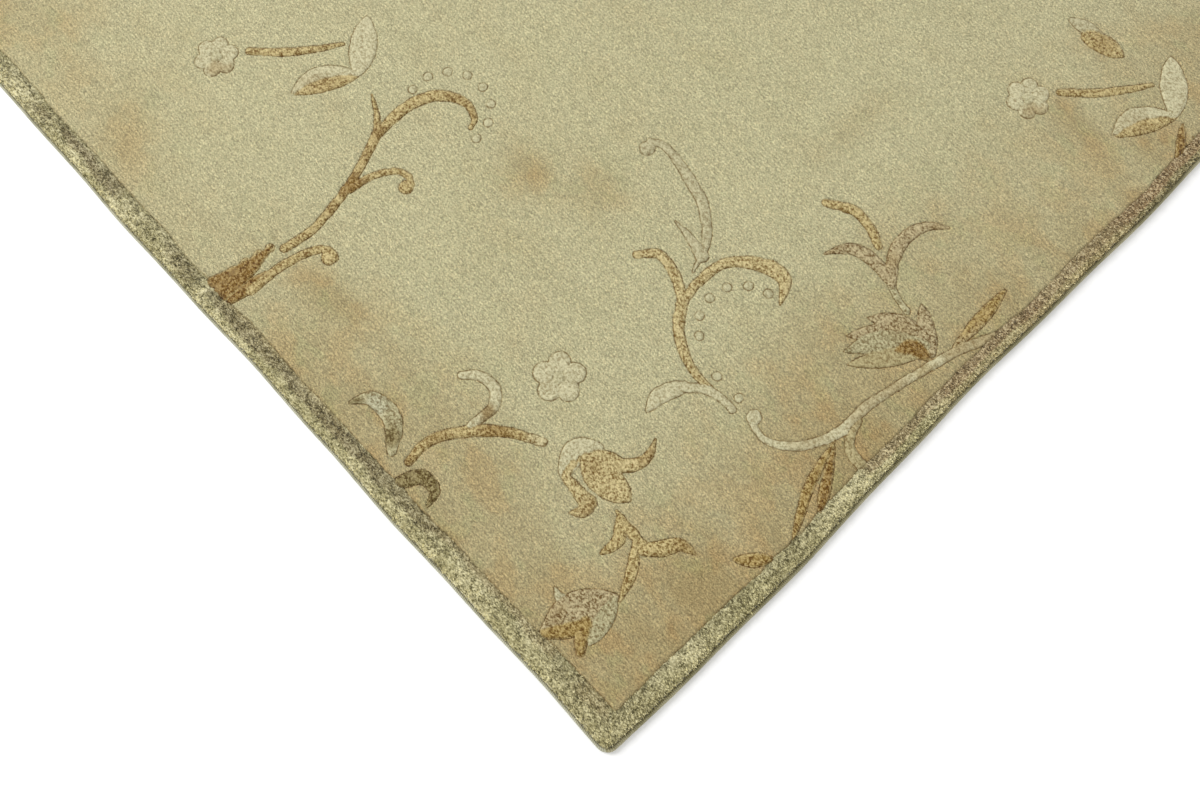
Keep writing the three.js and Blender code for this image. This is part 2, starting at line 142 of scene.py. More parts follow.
# Silk strokes of one repeat, from the lowest to the topmost. Each path is a few points from the
# rug's near corner, and the widths are its start's, its middle's and its end's. Neighbouring
# vines of one tone join, and a leaf or the bulb of a curl keeps its own outline.
STROKE_COLUMNS = ("motif", "tone", "form", "widths", "path")
STROKES = [
    ("scroll", "straw", "bulb", (12, 12, 12), [(41, 507.5)]),
    ("scroll", "straw", "bulb", (10, 10, 10), [(55, 507)]),
    ("scroll", "straw", "bulb", (9, 9, 9), [(68, 505.5)]),
    ("scroll", "straw", "bulb", (8, 8, 8), [(79, 503.5)]),
    ("scroll", "umber", "leaf", (16, 14, 3), [(18, 498), (38, 490), (62, 488)]),
    ("scroll", "umber", "leaf", (28, 18, 3), [(16, 507), (44, 502), (80, 503)]),
    ("low curl", "gold", "vine", (8, 8, 6), [(42, 484), (72, 484), (96, 479), (111, 471), (115, 463)]),
    ("low curl", "gold", "bulb", (15, 15, 15), [(110.5, 461.5)]),
    ("stem", "gold", "vine", (8, 8, 9), [(88, 495), (115, 491), (150, 497), (182, 507), (218, 523)]),
    ("stem", "gold", "vine", (8, 6.5, 5.5), [(164, 498), (186, 494), (203, 485), (209, 473), (206, 464)]),
    ("stem", "gold", "vine", (8, 5, 1.5), [(215, 521), (228, 536), (238, 555)]),
    ("stem", "gold", "vine", (8, 11, 4),
     [(213, 521), (250, 524), (279, 514), (293, 492), (289, 474), (280, 469)]),
    ("stem", "gold", "bulb", (13, 13, 13), [(201, 465.5)]),
    ("arch", "straw", "vine", (5, 9, 10), [(264, 152), (266, 178), (280, 206), (303, 224)]),
    ("arch", "straw", "vine", (9, 9, 14), [(298, 222), (320, 226), (346, 225), (365, 213), (378, 192)]),
    ("arch", "straw", "vine", (14, 11, 2), [(378, 192), (378, 176), (360, 164)]),
    ("arch", "straw", "vine", (8, 9, 7.5), [(301, 222), (314, 245), (317, 267), (303, 281)]),
    ("pale scroll", "ivory", "vine", (2, 10, 8),
     [(327, 236), (354, 247), (376, 272), (386, 300), (391, 322)]),
    ("pale scroll", "ivory", "vine", (8, 7.5, 7), [(391, 320), (392, 338), (386, 349)]),
    ("pale scroll", "ivory", "vine", (12, 7, 1.5), [(343, 241), (347, 259), (349, 280)]),
    ("pale scroll", "ivory", "bulb", (14, 14, 14), [(380, 346)]),
    ("pale leaf", "cream", "leaf", (3, 15, 9), [(213, 176), (230, 178), (250, 170)]),
    ("long vine", "cream", "vine", (9, 8, 7), [(240, 177), (254, 164), (264, 148), (265, 128)]),
    ("long vine", "cream", "vine", (6, 7.5, 9), [(268, 108), (266, 92), (278, 72), (300, 58), (320, 52)]),
    ("long vine", "cream", "vine", (9, 8, 9), [(316, 53), (350, 52), (395, 42), (440, 30), (472, 17)]),
    ("long vine", "cream", "bulb", (13, 13, 13), [(273, 111)]),
    ("tan fork", "sand", "leaf", (4, 9, 10), [(334, 48), (318, 44), (309, 33), (308, 16)]),
    ("slender leaf", "amber", "leaf", (2, 9, 1), [(222, 20), (264, 40), (308, 51)]),
    ("slender leaf", "umber", "leaf", (6, 9, 1), [(255, 19), (278, 33), (303, 48)]),
    ("slender leaf", "amber", "leaf", (4, 11, 3), [(179, 41), (189, 31), (201, 20)]),
    ("slender leaf", "amber", "leaf", (2, 12, 3), [(438, 35), (466, 36), (507, 40)]),
    ("tulip", "mauve", "leaf", (12, 15, 1), [(420, 47), (434, 64), (447, 80)]),
    ("tulip", "mauve", "leaf", (12, 20, 1), [(426, 54), (418, 82), (405, 104)]),
    ("tulip", "mauve", "leaf", (10, 18, 1), [(424, 54), (405, 84), (380, 106)]),
    ("tulip", "sage", "leaf", (10, 20, 1), [(420, 54), (396, 82), (368, 98)]),
    ("tulip", "sand", "leaf", (8, 16, 1), [(414, 52), (390, 69), (362, 88)]),
    ("tulip", "umber", "leaf", (2, 14, 6), [(400, 68), (412, 60), (415, 45)]),
    ("leaf pair", "sage", "vine", (6, 6, 8), [(433, 84), (436, 98), (443, 114)]),
    ("leaf pair", "mauve", "vine", (7, 12, 1), [(442, 112), (446, 134), (441, 156), (420, 170)]),
    ("leaf pair", "mauve", "vine", (7, 12, 2), [(442, 110), (458, 124), (480, 131), (502, 126), (516, 111)]),
    ("leaf bar", "gold", "vine", (7, 9, 8), [(459, 142), (467, 160), (468, 180), (456, 201)]),
    ("rose spray", "cream", "leaf", (8, 25, 1), [(744, 45), (762, 60), (787, 84)]),
    ("rose spray", "cream", "leaf", (1, 19, 3), [(687, 71), (716, 67), (742, 45)]),
    ("rose spray", "gold", "leaf", (1, 13, 2), [(688, 68), (712, 57), (740, 42)]),
    ("rose spray", "gold", "vine", (7, 8, 4), [(686, 130), (715, 102), (752, 77)]),
    ("bud", "ivory", "leaf", (5, 14, 10), [(750, 170), (754, 156), (756, 142)]),
    ("bud", "gold", "leaf", (12, 20, 1), [(748, 149), (752, 134), (756, 113)]),
    ("sprig", "umber", "leaf", (9, 9, 2), [(712, 14), (725, 23), (741, 34)]),
    ("crescent", "sage", "leaf", (3, 16, 8), [(40, 351), (55, 341), (56, 316), (38, 296)]),
    ("crescent", "olive", "leaf", (10, 12, 2), [(23, 273), (42, 264), (43, 248), (30, 242)]),
    ("bar", "gold", "vine", (7, 10, 7), [(43, 280), (68, 281), (97, 264), (118, 242), (133, 216)]),
    ("hook", "cream", "leaf", (6, 10, 6), [(100, 268), (122, 266), (135, 277), (133, 294), (122, 305)]),
    ("blossom", "cream", "leaf", (6, 20, 6), [(126, 184), (147, 192), (164, 180)]),
    ("blossom", "straw", "vine", (6, 9, 14), [(139, 186), (127, 182), (126, 168), (124, 154)]),
    ("blossom", "straw", "vine", (14, 9, 1), [(125, 154), (118, 152), (108, 159)]),
    ("blossom", "straw", "vine", (6, 12, 2), [(145, 184), (160, 174), (168, 156), (184, 148), (201, 154)]),
    ("blossom", "straw", "leaf", (8, 27, 1), [(149, 183), (148, 160), (151, 132)]),
    ("three arms", "gold", "vine", (2, 8, 7), [(137, 134), (134, 116), (133, 98)]),
    ("three arms", "gold", "vine", (5, 10, 2), [(134, 128), (122, 116), (104, 118)]),
    ("three arms", "gold", "leaf", (6, 9, 2), [(129, 104), (112, 91), (89, 81)]),
    ("three arms", "gold", "leaf", (8, 13, 1), [(129, 98), (141, 88), (155, 79), (158, 65)]),
    ("lily", "ivory", "leaf", (12, 8, 1), [(58, 106), (57, 114), (60, 125)]),
    ("lily", "mauve", "leaf", (10, 20, 4), [(32, 104), (60, 104), (88, 88)]),
    ("lily", "mauve", "leaf", (12, 18, 8), [(48, 94), (66, 92), (87, 86)]),
    ("lily", "sage", "leaf", (2, 15, 4), [(48, 73), (68, 78), (87, 85)]),
    ("lily", "amber", "vine", (8, 12, 9), [(29, 103), (42, 93), (58, 86)]),
    ("lily", "amber", "vine", (7, 11, 9), [(39, 73), (47, 81), (58, 88)]),
]
ROSES = [
    {"x": 180, "y": 247, "reach": 13.5, "petal": 9.5, "petals": 5, "turn": 45},
    {"x": 661, "y": 146, "reach": 12.5, "petal": 7.8, "petals": 6, "turn": 35},
]
ROSE_HEART = 5.5
DOT_ARCS = [
    {"x": 277, "y": 496, "reach": 38.5, "start": 104, "end": -90, "count": 8},
    {"x": 322, "y": 172, "reach": 37.5, "start": 148, "end": 9, "count": 6},
    {"x": 276, "y": 144, "reach": 13.0, "start": 90, "end": -90, "count": 2},
]
DOT_RADIUS = 4.2

# Places in the repeats that stay plain wool
BARE_SPOTS = [(252, 669, 40), (228, 558, 16)]

# Where silk of one repeat changes to another tone
SILK_PATCHES_COLUMNS = ("x", "y", "reach", "tone", "share")
SILK_PATCHES = [
    (168, 501, 13, "umber", 0.95),
    (141, 493, 7, "umber", 0.5),
    (196, 511, 9, "umber", 0.45),
    (217, 523, 8, "umber", 0.6),
    (287, 481, 9, "umber", 0.45),
    (111, 249, 13, "umber", 0.8),
    (72, 277, 9, "umber", 0.45),
    (44, 281, 6, "umber", 0.5),
    (118, 267, 7, "umber", 0.7),
    (132, 221, 9, "cream", 0.5),
    (122, 149, 8, "umber", 0.5),
    (186, 148, 11, "umber", 0.5),
    (148, 174, 8, "umber", 0.4),
    (155, 76, 9, "umber", 0.5),
    (45, 306, 10, "olive", 0.9),
    (43, 350, 8, "olive", 0.7),
    (54, 334, 9, "celadon", 0.6),
    (508, 118, 8, "umber", 0.35),
    (458, 124, 8, "umber", 0.35),
    (425, 166, 6, "umber", 0.3),
    (45, 108, 9, "umber", 0.3),
    (416, 76, 12, "umber", 0.25),
    (290, 68, 18, "tan", 0.35),
    (345, 52, 18, "tan", 0.55),
    (376, 47, 14, "tan", 0.75),
    (403, 39, 10, "amber", 0.5),
    (712, 57, 12, "umber", 0.3),
    (700, 78, 14, "tan", 0.3),
    (752, 134, 10, "umber", 0.45),
    (652, 136, 8, "tan", 0.8),
    (662, 128, 6, "tan", 0.6),
    (438, 30, 15, "tan", 0.85),
    (462, 21, 14, "tan", 0.85),
    (291, 501, 9, "umber", 0.35),
]

# Patches where the wool has turned tan, and their reach along both of the rug's directions
PATCHES_COLUMNS = ("x", "y", "across", "along", "depth")
PATCHES = [
    (285, 402, 22, 28, 0.55),
    (322, 348, 24, 26, 0.55),
    (86, 437, 17, 38, 0.50),
    (58, 685, 26, 42, 0.38),
    (528, 236, 36, 15, 0.36),
    (672, 112, 20, 26, 0.36),
    (662, 84, 16, 24, 0.30),
    (704, 58, 20, 22, 0.30),
    (742, 120, 14, 44, 0.25),
    (810, 80, 40, 50, 0.20),
    (160, 300, 26, 30, 0.12),
    (210, 575, 12, 16, 0.15),
]
# Wool tans towards the edges: how far in, how strongly near the corner and away from it
SIDE_TAN = {"reach": 165.0, "near": 1.0, "away": 0.62, "turns": (300.0, 560.0)}
END_TAN = {"reach": 132.0, "near": 0.85, "away": 0.22, "turns": (330.0, 500.0)}

# Tones along the border: the edge, its stretch in millimetres from the corner, its share of the
# border's width from the outer side, and how strongly it shows
BORDER_RUNS_COLUMNS = ("edge", "from", "to", "outer", "inner", "tone", "share")
BORDER_RUNS = [
    ("end", -30, 75, 0.00, 1.00, "moss", 0.45),
    ("end", 20, 62, 0.60, 1.00, "bark", 0.50),
    ("end", 85, 235, 0.74, 1.00, "bark", 0.60),
    ("end", 222, 300, 0.52, 1.00, "loam", 0.62),
    ("end", 290, 350, 0.46, 0.96, "loam", 0.75),
    ("end", 345, 500, 0.42, 0.88, "loam", 0.66),
    ("end", 345, 500, 0.86, 1.00, "bark", 0.60),
    ("end", 522, 562, 0.20, 0.90, "loam", 0.45),
    ("end", 632, 665, 0.36, 1.00, "loam", 0.65),
    ("end", 664, 720, 0.40, 0.82, "loam", 0.80),
    ("end", 733, 758, 0.36, 0.82, "loam", 0.50),
    ("side", -30, 62, 0.00, 1.00, "moss", 0.45),
    ("side", 192, 246, 0.15, 1.00, "moss", 0.50),
    ("side", 306, 402, 0.50, 1.00, "rosewood", 0.60),
    ("side", 396, 520, 0.42, 1.00, "rosewood", 0.85),
    ("side", 396, 520, 0.00, 0.42, "bark", 0.50),
    ("side", 500, 640, 0.34, 1.00, "rosewood", 0.72),
    ("side", 500, 640, 0.00, 0.34, "bark", 0.70),
    ("side", 625, 1100, 0.34, 1.00, "rosewood", 1.00),
    ("side", 625, 1100, 0.00, 0.34, "loam", 0.62),
]

# Mesh of the field: nearly square tiles of 12, 6 or 2 cells a side. Each tile is probed at a few
# points each way, and it is fine where one of them is near an outline or the cut line.
TILES_LONG = 148
TILES_WIDE = 98
FINE, MIDDLE, COARSE = 12, 6, 2
FINE_REACH = 4.2
CUT_REACH = 1.5
PROBES = 4
FIELD_HALF_X = LENGTH / 2 - END_BORDER["width"] + 2.5
FIELD_HALF_Y = WIDTH / 2 - SIDE_BORDER["width"] + 2.5
TILE_X = 2 * FIELD_HALF_X / TILES_LONG
TILE_Y = 2 * FIELD_HALF_Y / TILES_WIDE

# Tiles are finest up to this sum of both distances from the near corner, nearly all that the
# photograph shows
PHOTO_REACH = 880.0

# A piece has fewer triangles than this, and silk reaches this far past its outline
MOST_TRIANGLES = 190000
SILK_FRINGE = 0.3

# Motifs stand this much above the wool, in a groove of this depth and half width
RAISE = 0.7
CARVE = 0.8
CARVE_REACH = 0.75

# Noises that make things uneven: their strength, their cell's two sizes in millimetres, their seed
OUTLINE_WAVER = [(0.45, 7.0, 7.0, 21), (0.3, 3.0, 3.0, 25)]
CUT_STEPS = [(1.1, 31.0, 1.0, 2), (0.6, 13.0, 1.0, 0), (0.45, 3.1, 1.0, 1)]
CUT_SEED = {"end": 3, "side": 7}
TAN_CLOUDS = [(0.24, 55, 120, 31), (0.22, 20, 48, 32), (0.10, 9, 18, 33)]
FIELD_SWELL = [(0.22, 46, 46, 41), (0.12, 15, 15, 42)]
BORDER_CLOUDS = [(1.0, 26, 26, 61), (0.6, 8, 8, 62)]
BORDER_GRAIN = [(0.5, 2.9, 2.9, 51), (0.5, 1.7, 1.7, 52)]
BORDER_SWELL = [(0.25, 17, 17, 53)]
RUN_EDGES = [(0.12, 18, 18, 64), (0.04, 4, 4, 65)]

# Large odd numbers that scatter the lattice's values
SCATTER = (374761393, 668265263, 974634777, 1274126177)
LOW_32_BITS = 0xFFFFFFFF
LOW_16_BITS = 0xFFFF


def lattice(ix, iy, seed):
    """A fixed random number from 0 to 1 at each lattice point."""
    by_x, by_y, by_seed, again = SCATTER
    n = (ix.astype(np.int64) * by_x + iy.astype(np.int64) * by_y + seed * by_seed) & LOW_32_BITS
    n = ((n ^ (n >> 13)) * again) & LOW_32_BITS
    return ((n ^ (n >> 16)) & LOW_16_BITS) / LOW_16_BITS


def noise(x, y, cell_x, cell_y, seed):
    """Smooth noise from -1 to 1 with cells of that size."""
    u, v = x / cell_x, y / cell_y
    iu, iv = np.floor(u), np.floor(v)
    fu, fv = u - iu, v - iv
    fu, fv = fu * fu * (3 - 2 * fu), fv * fv * (3 - 2 * fv)
    low = lattice(iu, iv, seed) * (1 - fu) + lattice(iu + 1, iv, seed) * fu
    high = lattice(iu, iv + 1, seed) * (1 - fu) + lattice(iu + 1, iv + 1, seed) * fu
    return 2 * (low * (1 - fv) + high * fv) - 1


def waved(value, x, y, noises, shift=0):
    """A value with those noises added, their seeds shifted."""
    for strength, cell_x, cell_y, seed in noises:
        value = value + strength * noise(x, y, cell_x, cell_y, seed + shift)
    return value


def smooth(low, high, x):
    """A smooth step from 0 to 1 between two numbers, which may also run downwards."""
    t = np.clip((x - low) / (high - low), 0, 1)
    return t * t * (3 - 2 * t)


def bow(waves, along, near):
    """How far an edge stands out from its straight line."""
    total = 0.0
    for wave in waves:
        phase = np.where(near, wave["near"], wave["far"])
        total = total + wave["depth"] * np.sin(2 * math.pi * along / wave["wave"] + phase)
    return total


def settle(x, y):
    """Moves plan points with the nearest edge's bow, fading out towards the middle."""
    side = np.abs(2 * y / WIDTH) ** BOW_FADE
    end = np.abs(2 * x / LENGTH) ** BOW_FADE
    dy = np.sign(y) * side * bow(SIDE_BOW, x, y < 0)
    dx = np.sign(x) * end * bow(END_BOW, y, x < 0)
    return x + dx, y + dy


def border_width(border, distance):
    """Visible width of the border at that distance from the nearest corner."""
    return border["width"] + border["flare"] * np.exp(-distance / border["reach"])


def cut_wander(along, seed):
    """The cut line inside the border steps a little from knot to knot."""
    return waved(0.0, along, along * 0, CUT_STEPS, seed)


def inside_border(x, y):
    """Distance inwards from the cut line, in nominal plan coordinates."""
    to_end, to_side = LENGTH / 2 - np.abs(x), WIDTH / 2 - np.abs(y)
    from_end = to_end - border_width(END_BORDER, to_side) - cut_wander(y, CUT_SEED["end"])
    from_side = to_side - border_width(SIDE_BORDER, to_end) - cut_wander(x, CUT_SEED["side"])
    return np.minimum(from_end, from_side)


def spline(points, steps=10):
    """A smooth path through the points."""
    p = np.array(points, float)
    if len(p) == 2:
        return p[0] + (p[1] - p[0]) * np.linspace(0, 1, steps)[:, None]
    q = np.vstack([p[:1], p, p[-1:]])
    out = []
    for i in range(len(p) - 1):
        a, b, c, d = q[i:i + 4]
        t = np.linspace(0, 1, steps, endpoint=i == len(p) - 2)[:, None]
        curve = 2 * b + (c - a) * t + (2 * a - 5 * b + 4 * c - d) * t**2 + (3 * b - a - 3 * c + d) * t**3
        out.append(0.5 * curve)
    return np.vstack(out)


def half_widths(widths, t):
    """Half the width along a stroke, through its start's, its middle's and its end's widths."""
    start, middle, end = widths
    full = start * (1 - t) * (1 - 2 * t) + 4 * middle * t * (1 - t) + end * t * (2 * t - 1)
    return 0.5 * np.maximum(full, 0.8)


def stroke_distance(stroke, x, y):
    """Signed distance to a stroke's outline, negative inside."""
    if len(stroke["path"]) == 1:
        cx, cy = stroke["path"][0]
        return np.hypot(x - cx, y - cy) - 0.5 * stroke["widths"][0]
    line = spline(stroke["path"])
    steps = np.hypot(*np.diff(line, axis=0).T)
    t = np.concatenate([[0.0], np.cumsum(steps)]) / steps.sum()
    radius = half_widths(stroke["widths"], t)
    best = np.full(x.shape, 1e3)
    for i in range(len(line) - 1):
        (ax, ay), (bx, by) = line[i], line[i + 1]
        ux, uy = bx - ax, by - ay
        along = np.clip(((x - ax) * ux + (y - ay) * uy) / max(ux * ux + uy * uy, 1e-9), 0, 1)
        reach = np.hypot(x - ax - along * ux, y - ay - along * uy)
        best = np.minimum(best, reach - (radius[i] * (1 - along) + radius[i + 1] * along))
    return best


def path_points(stroke):
    return spline(stroke["path"]) if len(stroke["path"]) > 1 else stroke["path"]


def disc(tone, x, y, radius, raised=1.0):
    """A round shape. It is raised by that share of a motif's height."""
    stroke = {"path": [(x, y)], "widths": (2 * radius,) * 3}
    return {"tone": tone, "strokes": [stroke], "raised": raised}


def stroke_shapes():
    """The strokes as shapes, with neighbouring vines of one motif and tone joined."""
    shapes = []
    for row in STROKES:
        stroke = dict(zip(STROKE_COLUMNS, row))
        key = (stroke["motif"], stroke["tone"]) if stroke["form"] == "vine" else None
        if key and shapes and shapes[-1]["key"] == key:
            shapes[-1]["strokes"].append(stroke)
        else:
            shapes.append({"key": key, "tone": stroke["tone"], "strokes": [stroke], "raised": 1.0})
    return shapes


def ring_points(centre, reach, turns):
    return [(centre["x"] + reach * math.cos(turn), centre["y"] + reach * math.sin(turn)) for turn in turns]


def shapes_of_repeat():
    """The shapes of one repeat, from the lowest to the topmost."""
    shapes = stroke_shapes()
    for rose in ROSES:
        turns = np.radians(rose["turn"] + 360 * np.arange(rose["petals"]) / rose["petals"])
        for x, y in ring_points(rose, rose["reach"], turns):
            shapes.append(disc("cream", x, y, rose["petal"]))
        shapes.append(disc("wool", rose["x"], rose["y"], ROSE_HEART))
    for arc in DOT_ARCS:
        turns = np.radians(np.linspace(arc["start"], arc["end"], arc["count"]))
        for x, y in ring_points(arc, arc["reach"], turns):
            shapes.append(disc("wool", x, y, DOT_RADIUS, 0.5))
    for i, shape in enumerate(shapes):
        shape["channel"] = i % 2
        points = np.vstack([path_points(stroke) for stroke in shape["strokes"]])
        wide = max(max(stroke["widths"]) for stroke in shape["strokes"]) / 2
        shape["box"] = (*(points.min(0) - wide), *(points.max(0) + wide))
    return shapes


def shape_distance(shape, x, y):
    return np.min([stroke_distance(stroke, x, y) for stroke in shape["strokes"]], axis=0)


def left_bare(shape, dx, dy):
    """Whether a shape of the repeat at that shift falls on a spot that stays plain."""
    x0, y0, x1, y1 = shape["box"]
    x, y = (x0 + x1) / 2 + dx, (y0 + y1) / 2 + dy
    return any(math.hypot(x - bx, y - by) < reach for bx, by, reach in BARE_SPOTS)


def repeats():
    """The shifts of all repeats that can reach the rug."""
    (ax, ay), (bx, by) = SHIFTS
    span = range(-SHIFT_REACH, SHIFT_REACH + 1)
    return [(i * ax + j * bx, i * ay + j * by) for i in span for j in span]


SHAPES = shapes_of_repeat()

# A shape's distance is followed this far, and an outline that another shape covers counts as this deep
FAR = 14.0
HIDDEN = 2.5

# How strongly a silk is mottled with painted sheen and shade, where it isn't 1
MOTTLE = {"cream": 0.55, "ivory": 0.55, "sage": 0.8, "celadon": 0.6, "wool": 0.45, "sand": 0.6}

# Silks with a golden rim, and the depths inside their outline between which the rim ends
RIMMED = ("umber", "amber")
RIM_FADE = (-0.4, 2.0)


def rim_tone(shape, depth):
    """A shape's tone at that depth inside its outline."""
    own = np.array(TONES[shape["tone"]])
    if shape["tone"] not in RIMMED:
        return own + 0 * depth[..., None]
    share = smooth(*RIM_FADE, depth)[..., None]
    return np.array(TONES["gold"]) * (1 - share) + own * share


def shift_tones(tone, u, v, dx, dy):
    """Lets silk of one repeat change towards other tones in a few places."""
    for row in SILK_PATCHES:
        patch = dict(zip(SILK_PATCHES_COLUMNS, row))
        x, y = u - dx - patch["x"], v - dy - patch["y"]
        limit = 2 * patch["reach"]
        rows = np.nonzero((np.abs(x).min(1) < limit) & (np.abs(y).min(1) < limit))[0]
        if len(rows):
            reach = np.hypot(x[rows], y[rows]) / patch["reach"]
            reach = reach + 0.25 * noise(u[rows], v[rows], 4.0, 4.0, 24)
            share = patch["share"] * smooth(1.5, 0.4, reach)[..., None]
            tone[rows] = tone[rows] * (1 - share) + np.array(TONES[patch["tone"]]) * share


def paint(x, y):
    """For plan points grouped in rows: silk distance, two outline distances, tone, raise and mottling."""
    u = waved(x + LENGTH / 2, x, y, OUTLINE_WAVER)
    v = waved(y + WIDTH / 2, x, y, OUTLINE_WAVER, 1)
    low_u, high_u, low_v, high_v = u.min(1), u.max(1), v.min(1), v.max(1)
    silk = np.full(x.shape, FAR)
    lines = [np.full(x.shape, FAR), np.full(x.shape, FAR)]
    tone = np.tile(np.array(TONES["gold"]), (*x.shape, 1))
    raised, mottled = np.ones(x.shape), np.ones(x.shape)
    nearest = np.full(x.shape, FAR)
    for dx, dy in repeats():
        touched = False
        for shape in SHAPES:
            x0, y0, x1, y1 = shape["box"]
            hit = (high_u > x0 + dx - FAR) & (low_u < x1 + dx + FAR)
            hit &= (high_v > y0 + dy - FAR) & (low_v < y1 + dy + FAR)
            rows = np.nonzero(hit)[0]
            if not len(rows) or left_bare(shape, dx, dy):
                continue
            touched = True
            d = shape_distance(shape, u[rows] - dx, v[rows] - dy)
            inside = d < 0
            own, other = lines[shape["channel"]], lines[1 - shape["channel"]]
            keep = other[rows]
            other[rows] = np.where(inside, -np.maximum(np.abs(keep), HIDDEN), keep)
            keep = own[rows]
            own[rows] = np.where(inside, d, np.where(keep > 0, np.minimum(keep, d), keep))
            silk[rows] = np.minimum(silk[rows], d)
            near = inside | (d < nearest[rows])
            nearest[rows] = np.where(near, np.maximum(d, 0), nearest[rows])
            tone[rows] = np.where(near[..., None], rim_tone(shape, np.maximum(-d, 0)), tone[rows])
            raised[rows] = np.where(near, shape["raised"], raised[rows])
            mottled[rows] = np.where(near, MOTTLE.get(shape["tone"], 1.0), mottled[rows])
        if touched:
            shift_tones(tone, u, v, dx, dy)
    return silk, lines[0], lines[1], tone, raised, mottled


def edge_tan(tan, depth, distance):
    """Tan of the wool at that depth from an edge and that distance from its corner."""
    strength = tan["near"] + (tan["away"] - tan["near"]) * smooth(*tan["turns"], distance)
    return strength * np.clip(1.12 - depth / tan["reach"], 0, 1)


def tanned(x, y):
    """How far the wool has turned tan, from 0 to 1."""
    u, v = x + LENGTH / 2, y + WIDTH / 2
    near_u, near_v = np.minimum(u, LENGTH - u), np.minimum(v, WIDTH - v)
    edges = np.maximum(edge_tan(SIDE_TAN, near_v, near_u), edge_tan(END_TAN, near_u, near_v))
    total = 0.08 + 0.92 * edges
    for a, b in ((u, v), (LENGTH - u, WIDTH - v)):
        for row in PATCHES:
            patch = dict(zip(PATCHES_COLUMNS, row))
            spread = ((a - patch["x"]) / patch["across"]) ** 2 + ((b - patch["y"]) / patch["along"]) ** 2
            total = total + patch["depth"] * np.exp(-spread)
    cloud = waved(0.0, x, y, TAN_CLOUDS)
    return np.clip(total * (1 + cloud) + 0.5 * np.maximum(cloud, 0) * (0.3 - 0.2 * edges), 0, 1)


def field_height(x, y, silk, line, raised, cell):
    """Height of the field's pile, with its silk raised, its outlines carved and its edge cut down."""
    width = max(CARVE_REACH, 0.55 * cell)
    height = waved(FIELD_HEIGHT, x, y, FIELD_SWELL)
    height = height + RAISE * raised * smooth(0.4, -2.6, silk)
    height = height + 0.10 * noise(x, y, 3.1, 3.1, 43) * (silk < 0)
    height = height - CARVE * (CARVE_REACH / width) * np.exp(-((line / width) ** 2))
    inner = inside_border(x, y)
    return height - (FIELD_HEIGHT - GROOVE_FLOOR) * (1 - smooth(-0.2, 1.3, inner))


def tile_levels(ti, tj):
    """Cells a side of each tile of the field."""
    probe = np.linspace(0, 1, PROBES)
    px = -FIELD_HALF_X + (ti[:, None] + np.repeat(probe, PROBES)[None]) * TILE_X
    py = -FIELD_HALF_Y + (tj[:, None] + np.tile(probe, PROBES)[None]) * TILE_Y
    silk, line_a, line_b, *_ = paint(px, py)
    near = np.minimum(np.abs(line_a), np.abs(line_b)).min(1) < FINE_REACH
    near |= (silk.min(1) < 0) & (silk.max(1) > 0)
    near |= inside_border(px, py).min(1) < CUT_REACH
    u, v = px.mean(1) + LENGTH / 2, py.mean(1) + WIDTH / 2
    shown = u + v < PHOTO_REACH
    return np.where(near, np.where(shown, FINE, MIDDLE), COARSE)


def stitch(z, n, beside):
    """Straightens the edges of tiles with n cells a side to meet their coarser neighbours' edges."""
    for edge, other in zip((z[:, 0], z[:, -1], z[:, :, 0], z[:, :, -1]), beside):
        for m in (MIDDLE, COARSE):
            rows = np.nonzero((other == m) & (m < n))[0]
            if len(rows):
                ratio = n // m
                share = (np.arange(n + 1) % ratio) / ratio
                at = np.arange(n + 1) // ratio * ratio
                run = edge[rows]
                edge[rows] = run[:, at] * (1 - share) + run[:, np.minimum(at + ratio, n)] * share


